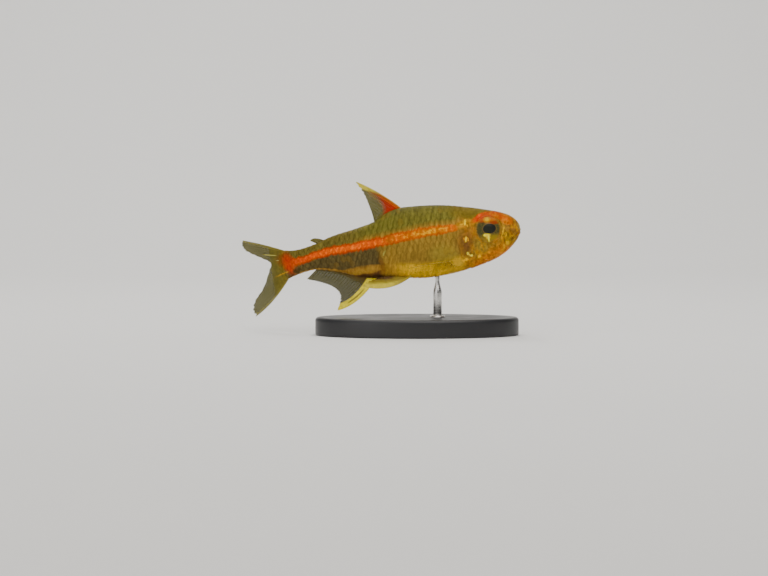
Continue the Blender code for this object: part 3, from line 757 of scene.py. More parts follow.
def wet(name, specular, tint, coat, coat_roughness, **more):
    """A shader with a tinted gloss, under a thin coat of water."""
    return Finish(name, Specular_IOR_Level=specular, Specular_Tint=(*tint, 1.0), Coat_Weight=coat,
                  Coat_Roughness=coat_roughness, Coat_IOR=WATER, **more)


def skin_finish():
    """Markings under a wet gloss, with fine pores and cloudy tone."""
    f = wet("wet_skin", 0.08, (1.0, 0.60, 0.10), 0.025, 0.06)
    colour, raw, _, shine = markings(f)
    colour = f.lit(colour, f.soft(f.noise(raw, 2.6, 4.0), 0.25, 0.75, 0.78, 1.25))
    grain = f.noise(raw, 14.0, 3.0)
    f.bump(grain, 0.25, 0.00003)
    rough = f.soft(grain, 0.3, 0.7, 0.34, 0.52)
    return f.use(Base_Color=colour, Roughness=rough, Metallic=f.times(shine, 0.30))


skin.data.materials.append(skin_finish())

# %% [markdown]
# The scales of a tetra are thin round plates in slanting rows, each one tucked under the one
# before it. Here every scale is a closed plate of a few dozen faces. It is laid out flat in
# (backwards, around) coordinates and then carried onto the curved body, with its root sunk in
# the skin and its hind edge lifted, so that it covers the root of the next one.

# %% The coat of scales
SCALE_PITCH = 0.753             # from column to column: 32 columns between gill and tail
SCALE_LENGTH = 1.30
ROW_HEIGHT = 1.00               # between rows where the body is deepest
DEEPEST = 10.0
ROWS_PER_SIDE = 9
SCALE_PLATE = 0.014             # a scale's own thickness
SCALE_HALF = 0.80               # half its height, as a share of the row height
HIND_CURVE = 0.42               # how far its hind corners draw back, as a share of its length
PLATE_GRID = (5, 7)             # points along and across a scale
BAKE_PATCH = 0.003              # size of a scale's patch on the skin's unwrap


def side_height(behind):
    """Depth of the body from back to belly."""
    back, belly = body_section(behind)[:2]
    return back - belly


def scale_roots(rng):
    """Root place of every scale: (behind, angle, row height), on both sides of the fish.

    In each column the skin's length is added up from the stripe's height round the section.
    Rows lie at equal steps along it, and every other row is shifted by half a column.
    """
    roots = []
    stripe_b, stripe_up = np.array(STRIPE_PATH).T
    for column in range(-5, 33):
        for row in range(-ROWS_PER_SIDE, ROWS_PER_SIDE + 1):
            behind = GILL_EDGE - 0.35 + SCALE_PITCH * (column + 0.5 * (row % 2))
            if not 6.0 < behind < 32.3:
                continue
            angle = np.linspace(-math.pi / 2, math.pi / 2, 600)
            side, up = section_point(np.full(600, behind), angle)
            walked = np.concatenate(([0.0], np.cumsum(np.hypot(np.diff(side), np.diff(up)))))
            step = ROW_HEIGHT * (side_height(behind) / DEEPEST) ** 0.5
            start = np.interp(np.interp(behind, stripe_b, stripe_up), up, walked)
            place = start + row * step
            if place < 0.25 * step or place > walked[-1] - 0.10 * step:
                continue
            turn = np.interp(place, walked, angle)
            height = np.interp(turn, angle, up)
            if behind < gill_edge(height) - 0.80:
                continue
            jitter = rng.normal(0.0, (0.012, 0.012, 0.03))
            roots += [(behind + jitter[0], turn, step * (1 + jitter[2])),
                      (behind + jitter[1], math.pi - turn, step * (1 + jitter[2]))]
    for behind in np.arange(6.7, 15.6, SCALE_PITCH):
        roots.append((behind, math.pi / 2, 0.95))
    for behind in np.arange(20.2, 32.0, SCALE_PITCH):
        roots.append((behind, math.pi / 2, 0.60))
    for behind in np.arange(7.6, 19.0, SCALE_PITCH):
        roots.append((behind, -math.pi / 2, 0.85))
    return np.array(roots)


def make_scales():
    """Carry one flat plate onto the body at every root, as one mesh of closed plates."""
    rng = np.random.default_rng(7)
    behind, turn, tall = (column[:, None, None] for column in scale_roots(rng).T)
    across = np.sin(math.pi / 2 * np.linspace(-1, 1, PLATE_GRID[1]))
    s, t = np.meshgrid(np.linspace(0, 1, PLATE_GRID[0]), across, indexing="ij")
    reach = SCALE_LENGTH * (0.55 + 0.45 * tall / ROW_HEIGHT)
    x = reach * s * (1 - HIND_CURVE * (1 - np.sqrt(1 - 0.98 * t ** 2)))
    y = tall * SCALE_HALF * t * (0.86 + 0.14 * np.sin(math.pi * s))
    twist = rng.normal(0.0, 0.03, behind.shape)
    x, y = x + twist * y, y - twist * x
    at, base = np.broadcast_arrays(behind, turn, x)[:2]
    pace = np.hypot(*np.subtract(section_point(at, base + 0.01), section_point(at, base - 0.01))) / 0.02
    b, a = behind + x, turn + y / pace
    lift = COAT_DEPTH * (0.10 + 0.80 * s) + 0.010 * (1 - t ** 2) * s - COAT_DEPTH
    count, size = len(behind), PLATE_GRID[0] * PLATE_GRID[1]
    layers = [lifted(b, a, lift + offset).reshape(count, size, 3)
              for offset in (SCALE_PLATE / 2, -SCALE_PLATE / 2)]
    points = np.concatenate(layers, axis=1)

    plate, corner = (np.concatenate(blocks) for blocks in leaf_cells(*PLATE_GRID))
    faces = (plate[None] + (np.arange(count) * 2 * size)[:, None, None]).reshape(-1, 4)
    share = corner / (np.array(PLATE_GRID) - 1.0)
    own = np.broadcast_to(share, (count, *share.shape)).reshape(-1, 4, 2)
    root = np.stack((behind.ravel() / BODY_END, (turn.ravel() / (2 * math.pi) + 0.25) % 1.0), axis=-1)
    bake = (root[:, None, None, :] + (share - 0.5) * BAKE_PATCH).reshape(-1, 4, 2)
    chance = np.stack([np.repeat(rng.random(count), len(plate)) for _ in range(2)], axis=-1)
    shade = np.broadcast_to(chance[:, None, :], own.shape)
    uv = {"OFBake": [bake], "plate": [own], "chance": [shade]}
    print(count, "scales of", len(plate), "faces")
    return add_piece("scales", points, [faces], (), uv, crisp=0.7)


scales = make_scales()

# %% The scales' finish


def scale_finish():
    """The same markings, darker along each hind edge, with a painted sheen before it, and growth rings."""
    f = wet("scales", 0.10, (1.0, 0.65, 0.15), 0.02, 0.12)
    colour, raw, over, shine = markings(f)
    along, across = f.uv("plate")
    tone, hue = f.uv("chance")
    middle = f.minus(across, 0.5)
    upper = f.times(middle, f.math("SIGN", f.split(raw)[1]))
    rim = f.math("MULTIPLY_ADD", f.times(middle, middle), 0.30, along)
    dark = f.times(f.soft(rim, 0.76, 0.96), f.soft(upper, -0.32, 0.02, 0.30, 1.0))
    # pale: a painted sheen across each scale, just before its darker hind edge
    pale = f.times(f.soft(rim, 0.45, 0.72), f.soft(rim, 0.88, 0.74))
    flank = f.soft(f.size(f.math("ADD", over, 0.2)), 3.2, 1.6, 0.35, 1.0)
    shadow = f.mix(1.0, colour, f.mix(shine, (0.52, 0.48, 0.40), (0.90, 0.62, 0.50)), "MULTIPLY")
    colour = f.mix(f.times(f.times(dark, flank), 0.42), colour, shadow)
    level = f.math("MULTIPLY_ADD", f.times(pale, flank), 0.14, 0.98)
    level = f.times(level, f.soft(tone, 0.0, 1.0, 0.95, 1.06))
    level = f.times(level, f.soft(f.noise(raw, 2.6, 4.0), 0.25, 0.75, 0.86, 1.16))
    colour = f.mix(f.soft(hue, 0.80, 1.0, 0.0, 0.08), f.lit(colour, level), (0.62, 0.30, 0.01))
    f.bump(f.math("SINE", f.times(rim, 70.0)), 0.10, 0.00002)
    return f.use(Base_Color=colour, Roughness=f.soft(rim, 0.6, 1.0, 0.34, 0.52),
                 Metallic=f.math("MULTIPLY_ADD", shine, 0.28, 0.05))


scales.data.materials.append(scale_finish())

# %% [markdown]
# A fish's eye has no lids. The clear cornea is nearly flush with the flat iris, and the round
# lens swells out through the pupil. Each eye is a turned profile: a deep back that fills the
# socket, the iris, and the dome of the lens. Its own UV map is a flat view of the eye, in which
# the iris is painted: orange above with a painted yellow highlight, silver below with painted
# highlights in it, and a dusky band across.

# %% The eyes
EYE_FORWARD = math.radians(7.0)
EYE_LIFT = math.radians(4.0)
EYE_RINGS = 64
EYE_STEPS = 120
# Radius as a share of the eye's, and height over the cheek in mm
EYE_PROFILE = ((0.0, -1.10), (0.45, -1.04), (0.80, -0.82), (0.97, -0.45), (1.010, -0.20),
               (0.992, -0.015), (0.93, 0.025), (0.80, 0.10), (0.62, 0.155), (0.50, 0.175),
               (0.46, 0.20), (0.38, 0.265), (0.25, 0.325), (0.12, 0.350), (0.0, 0.355))


def make_eye(name, hand):
    """Turn the profile about the axis that points out of the cheek."""
    cheek = float(section_point(EYE_BEHIND, float(angle_at(EYE_BEHIND, EYE_UP)))[0])
    out = unit(np.array((-math.sin(EYE_FORWARD), hand * math.cos(EYE_FORWARD), math.sin(EYE_LIFT))))
    upright = unit(np.array((0.0, 0.0, 1.0)) - out * out[2])
    forward = unit(np.array((-1.0, 0.0, 0.0)) + out * out[0])
    profile = np.array(EYE_PROFILE)
    knots = np.linspace(0.0, 1.0, len(profile))
    t = np.linspace(0.0, 1.0, EYE_RINGS + 2)[1:-1]
    radius, height = (curve_through(t, knots, column)[:, None, None] for column in profile.T)
    turn = (np.arange(EYE_STEPS) * 2 * math.pi / EYE_STEPS)[None, :, None]
    x, y = radius * np.cos(turn), radius * np.sin(turn)
    local = (x * forward + y * upright) * EYE_RADIUS + height * out
    centre = np.array((EYE_BEHIND, hand * cheek, EYE_UP))
    poles = centre + np.outer(profile[[0, -1], 1], out)
    points = placed(*np.concatenate(((centre + local).reshape(-1, 3), poles)).T)
    faces, _ = tube_cells(EYE_RINGS, EYE_STEPS)
    flat = np.concatenate((np.concatenate((x, y), axis=-1).reshape(-1, 2), np.zeros((2, 2))))
    uv = {"face": [flat[block] * 0.5 + 0.5 for block in faces]}
    return add_piece(f"wet_{name}", points, faces, (name,), uv)


eyes = [make_eye(name, hand) for name, hand in (("eye_left", 1), ("eye_right", -1))]

# %% The eyes' finish
# Centre and half axes as shares of the eye's radius, softness, share, colour
IRIS_PATCHES = (
    ((0.05, 0.98), (0.95, 0.46), 0.6, 0.95, (0.400, 0.052, 0.0002)), # orange-red roof
    ((0.38, 0.76), (0.46, 0.24), 0.8, 0.90, (0.480, 0.125, 0.0002)),
    ((0.00, 0.72), (0.26, 0.23), 0.8, 0.95, (0.560, 0.230, 0.0002)), # painted highlight over the pupil
    ((0.00, 0.72), (0.14, 0.14), 0.8, 0.95, (0.700, 0.410, 0.0003)),
    ((0.56, 0.42), (0.40, 0.12), 0.9, 0.80, (0.340, 0.040, 0.003)),  # brown-red arc before it
    ((0.28, -0.66), (0.46, 0.20), 0.9, 0.55, (0.300, 0.210, 0.006)), # olive floor
    ((-0.17, -0.42), (0.25, 0.12), 0.9, 0.95, (0.960, 0.700, 0.004)),# silver-yellow patch, with painted highlights in it
    ((-0.10, -0.58), (0.15, 0.15), 0.9, 0.95, (0.860, 0.540, 0.003)),
    ((-0.07, -0.66), (0.06, 0.34), 0.8, 1.00, (1.000, 0.860, 0.020)),
    ((-0.34, -0.40), (0.07, 0.07), 0.8, 1.00, (1.000, 0.860, 0.020)),
)
PUPIL_CENTRE = (0.085, 0.02, 0.0)
PUPIL_OVAL = (2.08, 2.80, 0.0)  # one over each half axis


def eye_finish():
    """Dusky iris with painted patches in ragged rays, an oval pupil, and a wet coat over it all."""
    f = wet("wet_eye", 0.12, (1.0, 0.75, 0.30), 0.15, 0.02, Roughness=0.40)
    x, y = (f.math("MULTIPLY_ADD", share, 2.0, -1.0) for share in f.uv("face"))
    flat = f.vector(x, y)
    r = f.length(flat)
    fibre = f.noise(flat, 9.0, 3.0)
    turn = f.math("ARCTAN2", y, x)
    rays = f.minus(f.noise(f.vector(f.times(turn, 3.0), r), 6.0, 2.0), 0.5)

    dusk = f.mix(f.soft(fibre, 0.3, 0.7), (0.048, 0.050, 0.018), (0.092, 0.078, 0.024))
    colour = f.mix(f.soft(y, -0.25, -0.75), dusk, (0.240, 0.150, 0.012))
    colour = f.mix(f.times(f.soft(fibre, 0.52, 0.68), 0.3), colour, (0.20, 0.14, 0.02))
    for place, half, softness, share, paint in IRIS_PATCHES:
        ragged = f.math("MULTIPLY_ADD", rays, 0.80, f.outwards(flat, (*place, 0.0), (*half, 1.0)))
        colour = f.mix(f.times(f.inside(ragged, softness), share), colour, paint)
    frayed = f.math("MULTIPLY_ADD", rays, 0.30, r)
    colour = f.mix(f.soft(frayed, 0.78, 0.98, 0.0, 0.95), colour, markings(f)[0])
    centred = f.vectors("SUBTRACT", flat, PUPIL_CENTRE)
    away = f.length(f.vectors("MULTIPLY", centred, PUPIL_OVAL))
    colour = f.mix(f.times(f.soft(away, 1.20, 1.06), 0.45), colour, (0.20, 0.10, 0.02))
    pupil = f.soft(away, 1.05, 0.97)
    colour = f.mix(pupil, colour, (0.016, 0.019, 0.017))
    return f.use(Base_Color=colour, Metallic=f.times(f.minus(1.0, pupil), 0.12))


eye_material = eye_finish()
for eye in eyes:
    eye.data.materials.append(eye_material)

# %% [markdown]
# A fin is a membrane carried by rays. Its surface runs from a root line to a margin line: a point
# is the root plus a share of the way to the margin, bent a little outwards. The membrane is a thin
# closed sheet that sags between the rays. Each ray is a tapered tube on the same surface, jointed
# all along, and it splits in two on its outer half.

# %% Fin surfaces
SPREAD = 0.22                   # how far a split ray's halves part, as a share of the gap


class FinSurface:
    """A fin's middle surface as a function of u, from ray to ray, and v, from root to tip."""

    def __init__(self, root, margin, bow):
        self.root = np.array(root, dtype=float)
        self.margin = np.array(margin, dtype=float)
        self.bow = bow

    def line(self, points, u):
        """Smooth curve through evenly spaced points."""
        knots = np.linspace(0.0, 1.0, len(points))
        return np.stack([curve_through(u, knots, column) for column in points.T], axis=-1)

    def point(self, u, v):
        """Root + v (margin - root) + bow 4v (1 - v), carried into the model's frame."""
        u, v = np.broadcast_arrays(u, v)
        root, margin = self.line(self.root, u), self.line(self.margin, u)
        v = v[..., None]
        spot = root + (margin - root) * v + self.bow(u) * 4 * v * (1 - v)
        return placed(*np.moveaxis(spot, -1, 0))

    def normal(self, u, v, step=1e-3):
        """Unit vector square to the surface, from two small steps."""
        across = self.point(u + step, v) - self.point(u - step, v)
        along = self.point(u, v + step) - self.point(u, v - step)
        return unit(np.cross(across, along))


def leading_bow(vector):
    """A bow that is full at the leading ray and fades to nothing at the last one."""
    return lambda u: (1 - np.asarray(u))[..., None] ** 2 * np.array(vector)


fraying = np.random.default_rng(21)


def fin_membrane(name, fin, rays, replaces, thickness=(0.11, 0.035)):
    """A sheet that is thin at the margin, sags between rays and ends just short of their tips.

    The thickness is given at the root and at the margin, in mm.
    """
    u = np.linspace(0.0, 1.0, (rays - 1) * 8 + 1)
    v = np.linspace(0.0, 1.0, 42)[:, None]
    between = 0.5 - 0.5 * np.cos(2 * math.pi * u * (rays - 1))
    ragged = np.interp(u, np.linspace(0, 1, rays * 3), fraying.random(rays * 3))
    reach = 1.0 - (0.030 * between + 0.020 * ragged) * smooth(u, 0.0, 0.18)
    middle = fin.point(u[None, :], v * reach[None, :])
    sag = fin.normal(np.broadcast_to(u, middle.shape[:2]), v * reach)
    middle = middle + sag * (0.03 * MM * between * np.sin(math.pi * v))[..., None]
    sheet = (thickness[0] + (thickness[1] - thickness[0]) * v) * MM
    points, faces, places = closed_sheet(middle, sheet)
    size = np.array((len(v) - 1.0, len(u) - 1.0))
    uv = {"fin": [(place / size)[..., ::-1] for place in places]}
    return add_piece(name, points, faces, replaces, uv)


def tube_mesh(centre, normal, across, radius, sides=8):
    """Closed tubes: an oval ring of points about each centre, and a fan at both ends.

    centre is (tubes, steps, 3); the ring point at an angle is the centre plus radius times
    (1.15 cos(angle) across + sin(angle) normal).
    """
    tubes, steps = centre.shape[:2]
    angle = np.arange(sides) * 2 * math.pi / sides
    ring = (np.cos(angle)[None, None, :, None] * across[:, :, None, :] * 1.15
            + np.sin(angle)[None, None, :, None] * normal[:, :, None, :])
    body = (centre[:, :, None, :] + ring * radius[..., None, None]).reshape(tubes, steps * sides, 3)
    points = np.concatenate((body, centre[:, :1], centre[:, -1:]), axis=1)
    blocks, places = tube_cells(steps, sides)
    shift = (np.arange(tubes) * (steps * sides + 2))[:, None, None]
    faces = [(block[None] + shift).reshape(-1, block.shape[1]) for block in blocks]
    rows = [places[..., 0].astype(int), np.zeros((sides, 3), dtype=int), np.full((sides, 3), steps - 1)]
    return points.reshape(-1, 3), faces, rows


def fin_rays(name, fin, rays, slot, radius, split=0.45, joints=22, first_radius=1.5, simple=2,
             lead_taper=0.30):
    """Jointed rays that taper outwards; all but the first few split in two."""
    gap = 1.0 / (rays - 1)
    strands = []
    for number, u in enumerate(np.linspace(0.0, 1.0, rays)):
        thick = radius * (first_radius if number < 2 else 1.0)
        if number < simple:
            strands.append((u, 0.0, 0.0, 1.0, thick, lead_taper))
            continue
        strands.append((u, 0.0, 0.0, split + 0.02, thick, 0.72))
        for way in (-1, 1):
            strands.append((u, way * SPREAD * gap, split, 1.0, thick * 0.62, 0.34))
    u0, shift, v0, v1, thick, taper = (np.array(column)[:, None] for column in zip(*strands))
    t = np.linspace(0.0, 1.0, 46)[None, :]
    v = v0 + (v1 - v0) * t
    u = np.clip(u0 + shift * np.sqrt(t), 0.0, 1.0)
    centre = fin.point(u, v)
    normal = fin.normal(u, v)
    across = unit(np.cross(normal, np.gradient(centre, axis=1)))
    beads = 1.0 - 0.16 * (0.5 + 0.5 * np.cos(2 * math.pi * v * joints)) ** 6 * (v > 0.15)
    points, faces, rows = tube_mesh(centre, normal, across, thick * MM * (1 + (taper - 1) * t) * beads)
    tube = np.arange(len(strands))[:, None, None]
    uv = [np.stack((u[tube, row], v[tube, row]), axis=-1).reshape(-1, row.shape[1], 2) for row in rows]
    return add_piece(name, points, faces, (), {"fin": uv})


def make_fin(name, fin, rays, slot, nodes, finishes, thickness=(0.11, 0.035), hand="", **sizes):
    """A fin's membrane, which stands for its solids, and its rays, each in its own finish."""
    pieces = (fin_membrane(f"{name}_membrane{hand}", fin, rays, nodes, thickness),
              fin_rays(f"{name}_rays{hand}", fin, rays, slot, **sizes))
    for piece, finish in zip(pieces, finishes):
        piece.data.materials.append(finish)


# %% [markdown]
# Fin colours follow the fin's own map: u counts the rays from the leading edge and v runs out to
# the tip. Membranes are clear between the rays and turn cloudy at the root, so their alpha follows
# v as well. The red of the dorsal fin and the white leading edges are bands on this map.

# %% Fin finishes
CREAM = (0.550, 0.455, 0.045)   # the pale leading edges
OLIVE_CLEAR = (0.112, 0.098, 0.010)
RAY_OLIVE = (0.250, 0.205, 0.026)


def fin_shader(name):
    """A wet shader for a thin fin, and the fin's own u and v."""
    f = wet(name, 0.08, (1.0, 1.0, 1.0), 0.14, 0.10, Roughness=0.45)
    return f, *f.uv("fin")


def membrane_finish(name, clear, root, alpha, paint=None):
    """Clear membrane, cloudier at its root unless it is all but invisible; paint lays bands over it."""
    f, u, v = fin_shader(name)
    raw = f.fish()
    colour = f.mix(f.soft(v, 0.30, 0.02), clear, root)
    cloudy = min(1.0, alpha + 0.45) if alpha > 0.1 else alpha
    opacity = f.soft(v, 0.35, 0.0, alpha, cloudy)
    if paint:
        colour, opacity = paint(f, u, v, colour, opacity)
    colour = f.lit(colour, f.soft(f.noise(raw, 2.2, 3.0), 0.3, 0.7, 0.85, 1.15))
    f.bump(f.noise(raw, 9.0, 2.0), 0.2, 0.00003)
    return f.use(Base_Color=colour, Alpha=opacity)


def ray_finish(name, colour, alpha, paint):
    """Bony rays, a little translucent, with paler joints."""
    f, u, v = fin_shader(name)
    joint = f.soft(f.math("SINE", f.times(v, 138.0)), 0.80, 1.0)
    colour = f.mix(f.times(joint, 0.30), colour, (0.420, 0.360, 0.120))
    colour, opacity = paint(f, u, v, colour, f.soft(v, 1.0, 0.3, alpha * 0.75, alpha))
    return f.use(Base_Color=colour, Alpha=opacity)


def edge_white(width, start, strength=1.0, tint=CREAM):
    """Paint for a pale leading edge that gets stronger towards the tip."""
    def paint(f, u, v, colour, opacity):
        line = f.times(f.soft(u, width * 1.5, width * 0.6), f.soft(v, start, start + 0.25, 0.25, strength))
        return f.mix(line, colour, tint), f.larger(opacity, f.times(line, 0.95))
    return paint


def dorsal_paint(near, far):
    """Red over the fin's front half, from near the body outwards, and a white leading edge."""
    def paint(f, u, v, colour, opacity):
        warm = f.times(f.soft(u, 0.40, 0.02), f.soft(v, 0.96, 0.66))
        colour = f.mix(f.times(warm, 0.7), colour, (0.330, 0.110, 0.012))
        border = f.minus(0.68, f.times(v, 0.92))
        red = f.times(f.soft(f.minus(u, border), 0.16, -0.16), f.soft(v, 0.80, 0.50))
        colour = f.mix(red, colour, f.mix(f.soft(v, 0.05, 0.70), near, far))
        reach = f.soft(v, 0.50, 0.95, 0.035, 0.15)
        white = f.times(f.soft(f.minus(u, reach), 0.03, -0.03), f.soft(v, 0.46, 0.66, 0.40, 1.0))
        solid = f.larger(f.times(warm, 0.80), f.larger(f.times(red, 0.94), white))
        return f.mix(white, colour, CREAM), f.larger(opacity, solid)
    return paint


# %% [markdown]
# Now the fins themselves. Their control points are the same as in the solids, only the roots are
# sunk into the flesh, where the solids keep a gap. Dorsal, anal and tail fin stand on the bent
# midline; pelvic and pectoral fins come in pairs, mirrored by the sign of their side.

# %% Dorsal fin
SINK = 0.30                     # how deep a fin's root lies in the flesh
ON_BACK, UNDER_BELLY = 0, 1


def root_line(start, end, line, depth=SINK, count=7):
    """Root points on the midline, a depth inside the back or the belly."""
    behind = np.linspace(start, end, count)
    level = body_section(behind)[line] + (depth if line == UNDER_BELLY else -depth)
    return np.stack((behind, np.zeros(count), level), axis=-1)


dorsal = FinSurface(
    root_line(15.75, 19.70, ON_BACK),
    [(21.48, 0, 10.06), (20.80, 0, 8.60), (20.34, 0, 7.20), (20.05, 0, 6.10), (19.85, 0, 5.25)],
    leading_bow((-0.15, 0, 0.22)),
)
web_red = dorsal_paint((0.400, 0.020, 0.003), (0.250, 0.034, 0.004))
ray_red = dorsal_paint((0.600, 0.080, 0.002), (0.400, 0.090, 0.004))
finishes = (membrane_finish("dorsal_membrane", OLIVE_CLEAR, OLIVE_ROOT, 0.78, web_red),
            ray_finish("dorsal_rays", RAY_OLIVE, 0.85, ray_red))
make_fin("dorsal", dorsal, 11, "dorsal_fin", ("dorsal_fin",), finishes,
         radius=0.050, first_radius=1.9, lead_taper=0.80)

# %% [markdown]
# The adipose fin is a small flap of flesh behind the dorsal fin. It has no rays, so it is made
# as one thick membrane.

# %% Adipose fin
adipose = FinSurface(
    root_line(26.90, 28.00, ON_BACK, 0.20),
    [(28.40, 0, 3.16), (28.75, 0, 3.08), (28.92, 0, 2.94), (28.80, 0, 2.80), (28.45, 0, 2.76)],
    leading_bow((0, 0, 0.12)),
)
flap = fin_membrane("adipose_flap", adipose, 4, ("adipose_fin",), (0.16, 0.05))
flap.data.materials.append(membrane_finish("adipose_flap", (0.120, 0.098, 0.010), REAR_BACK, 0.85))

# %% [markdown]
# The anal fin runs on under the tail stalk. Its first rays are the longest and carry the white
# streak that a dark line splits. The streak is a band on the fin's own map, so it bends with it.

# %% Anal fin
anal = FinSurface(
    root_line(20.35, 28.30, UNDER_BELLY),
    [(26.50, 0, -7.12), (25.85, 0, -5.20), (26.55, 0, -3.95), (28.20, 0, -3.05), (30.15, 0, -2.35)],
    leading_bow((0, 0, -0.85)),
)


def anal_paint(f, u, v, colour, opacity):
    """A white double streak along the first rays, split by a dark line half way out."""
    white = f.soft(f.math("MULTIPLY_ADD", v, 0.05, u), 0.175, 0.150)
    stretch = f.times(f.soft(v, 0.25, 0.38), f.soft(v, 0.80, 0.66))
    slit = f.times(f.near(u, 0.070, 0.022, 0.010), stretch)
    colour = f.mix(white, colour, (1.000, 0.820, 0.030))
    colour = f.mix(f.times(slit, 0.85), colour, (0.210, 0.160, 0.030))
    return colour, f.larger(opacity, f.times(white, 0.97))


finishes = (membrane_finish("anal_membrane", (0.080, 0.070, 0.008), (0.120, 0.066, 0.008), 0.76, anal_paint),
            ray_finish("anal_rays", RAY_OLIVE, 0.80, anal_paint))
make_fin("anal", anal, 22, "clear_fin", ("anal_fin",), finishes, (0.10, 0.03),
         radius=0.042, joints=18, simple=4)

# %% [markdown]
# The two lobes of the tail fin are one fan of rays from the end of the stalk, so one surface
# makes both. The fish's colours run a little way out onto it and fade.

# %% Tail fin
TAIL_ROOT = 32.55


def tail_bow(u):
    """Both outer edges bow outwards; the middle stays straight."""
    u = np.asarray(u)
    rise = 0.12 * np.clip(1 - 2 * u, 0, 1) ** 2 - 0.50 * np.clip(2 * u - 1, 0, 1) ** 2
    return np.stack((np.zeros_like(rise), np.zeros_like(rise), rise), axis=-1)


tail = FinSurface(
    [(TAIL_ROOT, 0, up) for up in (1.82, 1.20, 0.30, -0.92, -1.80)],
    [(38.40, 0, 4.05), (38.62, 0, 3.35), (38.20, 0, 2.55), (36.70, 0, 1.62), (35.15, 0, 0.72),
     (34.90, 0, 0.22), (35.15, 0, -0.35), (36.45, 0, -2.85), (37.85, 0, -4.45), (38.35, 0, -5.75),
     (38.10, 0, -6.75)],
    tail_bow,
)
# Painted highlights on the upper lobe's rays: place across the fan, half width, start and end on the way
# out, colour
TAIL_HIGHLIGHTS = ((0.26, 0.016, 0.30, 0.62, (0.560, 0.490, 0.100)),
                (0.40, 0.011, 0.40, 0.56, (0.400, 0.350, 0.080)))


def tail_paint(f, u, v, colour, opacity):
    """The flesh's colours run on over the root; painted highlights along rays of the upper lobe, and paler
    outer edges.
    """
    flesh, raw, _, _ = markings(f)
    behind = f.times(f.split(raw)[0], -1.0)
    colour = f.mix(f.soft(behind, 35.6, 33.2), colour, flesh)
    opacity = f.larger(opacity, f.soft(behind, 37.2, 34.0, 0.0, 0.98))
    outer = f.size(f.minus(u, 0.5))
    colour = f.mix(f.soft(outer, 0.44, 0.49, 0.0, 0.4), colour, (0.300, 0.250, 0.040))
    # Each streak is a painted highlight along a ray of the upper lobe
    for centre, width, start, end, paint in TAIL_HIGHLIGHTS:
        stretch = f.times(f.soft(v, start - 0.05, start + 0.05), f.soft(v, end + 0.08, end - 0.05))
        streak = f.times(f.near(u, centre, width, width * 0.4), stretch)
        colour = f.mix(streak, colour, paint)
        opacity = f.larger(opacity, f.times(streak, 0.85))
    return colour, opacity


finishes = (membrane_finish("tail_membrane", OLIVE_CLEAR, OLIVE_ROOT, 0.76, tail_paint),
            ray_finish("tail_rays", RAY_OLIVE, 0.70, tail_paint))
make_fin("tail", tail, 21, "clear_fin", ("caudal_fin_upper", "caudal_fin_lower"), finishes, (0.12, 0.03),
         radius=0.058, split=0.40, joints=26)

# %% [markdown]
# Pelvic and pectoral fins are small fans that lie back along the body. Both sides share the
# same points, so one loop makes them. The pectoral fins are all but invisible in life.

# %% Paired fins
PELVIC_ROOT = ((15.75, 0.95, -3.65), (16.30, 0.70, -3.75), (16.90, 0.45, -3.65))
PELVIC_MARGIN = ((22.30, 2.05, -4.10), (21.70, 1.85, -3.70), (20.60, 1.60, -3.40),
                 (19.40, 1.35, -3.25))
PECTORAL_ROOT = ((8.55, 1.72, -2.42), (8.50, 1.62, -2.75), (8.45, 1.45, -3.10))
PECTORAL_MARGIN = ((16.10, 3.40, -2.50), (15.75, 3.25, -2.95), (14.70, 3.00, -3.45),
                   (13.20, 2.70, -3.80))


def mirrored(points, hand):
    """The same points on the left (+1) or right (-1) side."""
    return np.array(points) * (1, hand, 1)


def pelvic_paint(f, u, v, colour, opacity):
    """A pale leading edge; the inner rays turn dark outwards, as the vent beside them is."""
    dark = f.times(f.soft(u, 0.48, 0.74), f.soft(v, 0.30, 0.60))
    colour = f.mix(dark, colour, (0.100, 0.050, 0.012))
    return edge_white(0.30, 0.20, 1.0, (0.640, 0.520, 0.040))(f, u, v, colour, opacity)


def pectoral_paint(f, u, v, colour, opacity):
    """A faint pale edge, and a solid root as golden as the belly that it grows from."""
    colour, opacity = edge_white(0.05, 0.0, 0.35, (0.600, 0.400, 0.020))(f, u, v, colour, opacity)
    root = f.soft(v, 0.29, 0.15)
    return f.mix(root, colour, (0.560, 0.330, 0.014)), f.larger(opacity, root)


pelvic_finishes = (
    membrane_finish("pelvic_membrane", (0.260, 0.190, 0.014), (0.300, 0.195, 0.012), 0.85, pelvic_paint),
    ray_finish("pelvic_rays", (0.290, 0.220, 0.024), 0.95, pelvic_paint))
pectoral_finishes = (
    membrane_finish("pectoral_membrane", (0.520, 0.330, 0.010), (0.520, 0.320, 0.010), 0.04, pectoral_paint),
    ray_finish("pectoral_rays", (0.560, 0.360, 0.020), 0.025, pectoral_paint))
for word, hand in (("left", 1), ("right", -1)):
    for name, rays, slot, root, margin, rise, radius, finishes in (
            ("pelvic", 8, "pelvic_fin", PELVIC_ROOT, PELVIC_MARGIN, -0.88, 0.070, pelvic_finishes),
            ("pectoral", 12, "clear_fin", PECTORAL_ROOT, PECTORAL_MARGIN, 0.10, 0.055, pectoral_finishes)):
        fin = FinSurface(mirrored(root, hand), mirrored(margin, hand), leading_bow((0, hand * 0.1, rise)))
        make_fin(name, fin, rays, slot, (f"{name}_fin_{word}",), finishes, hand=f"_{word}", radius=radius)

# %% [markdown]
# The stand is as plain as a museum's: an oval base with softly rounded edges, and one steel rod
# that stands in a small collar and ends in a thin pin in the belly. The base is a profile carried
# round an oval, so its edge keeps the same roundness all the way.

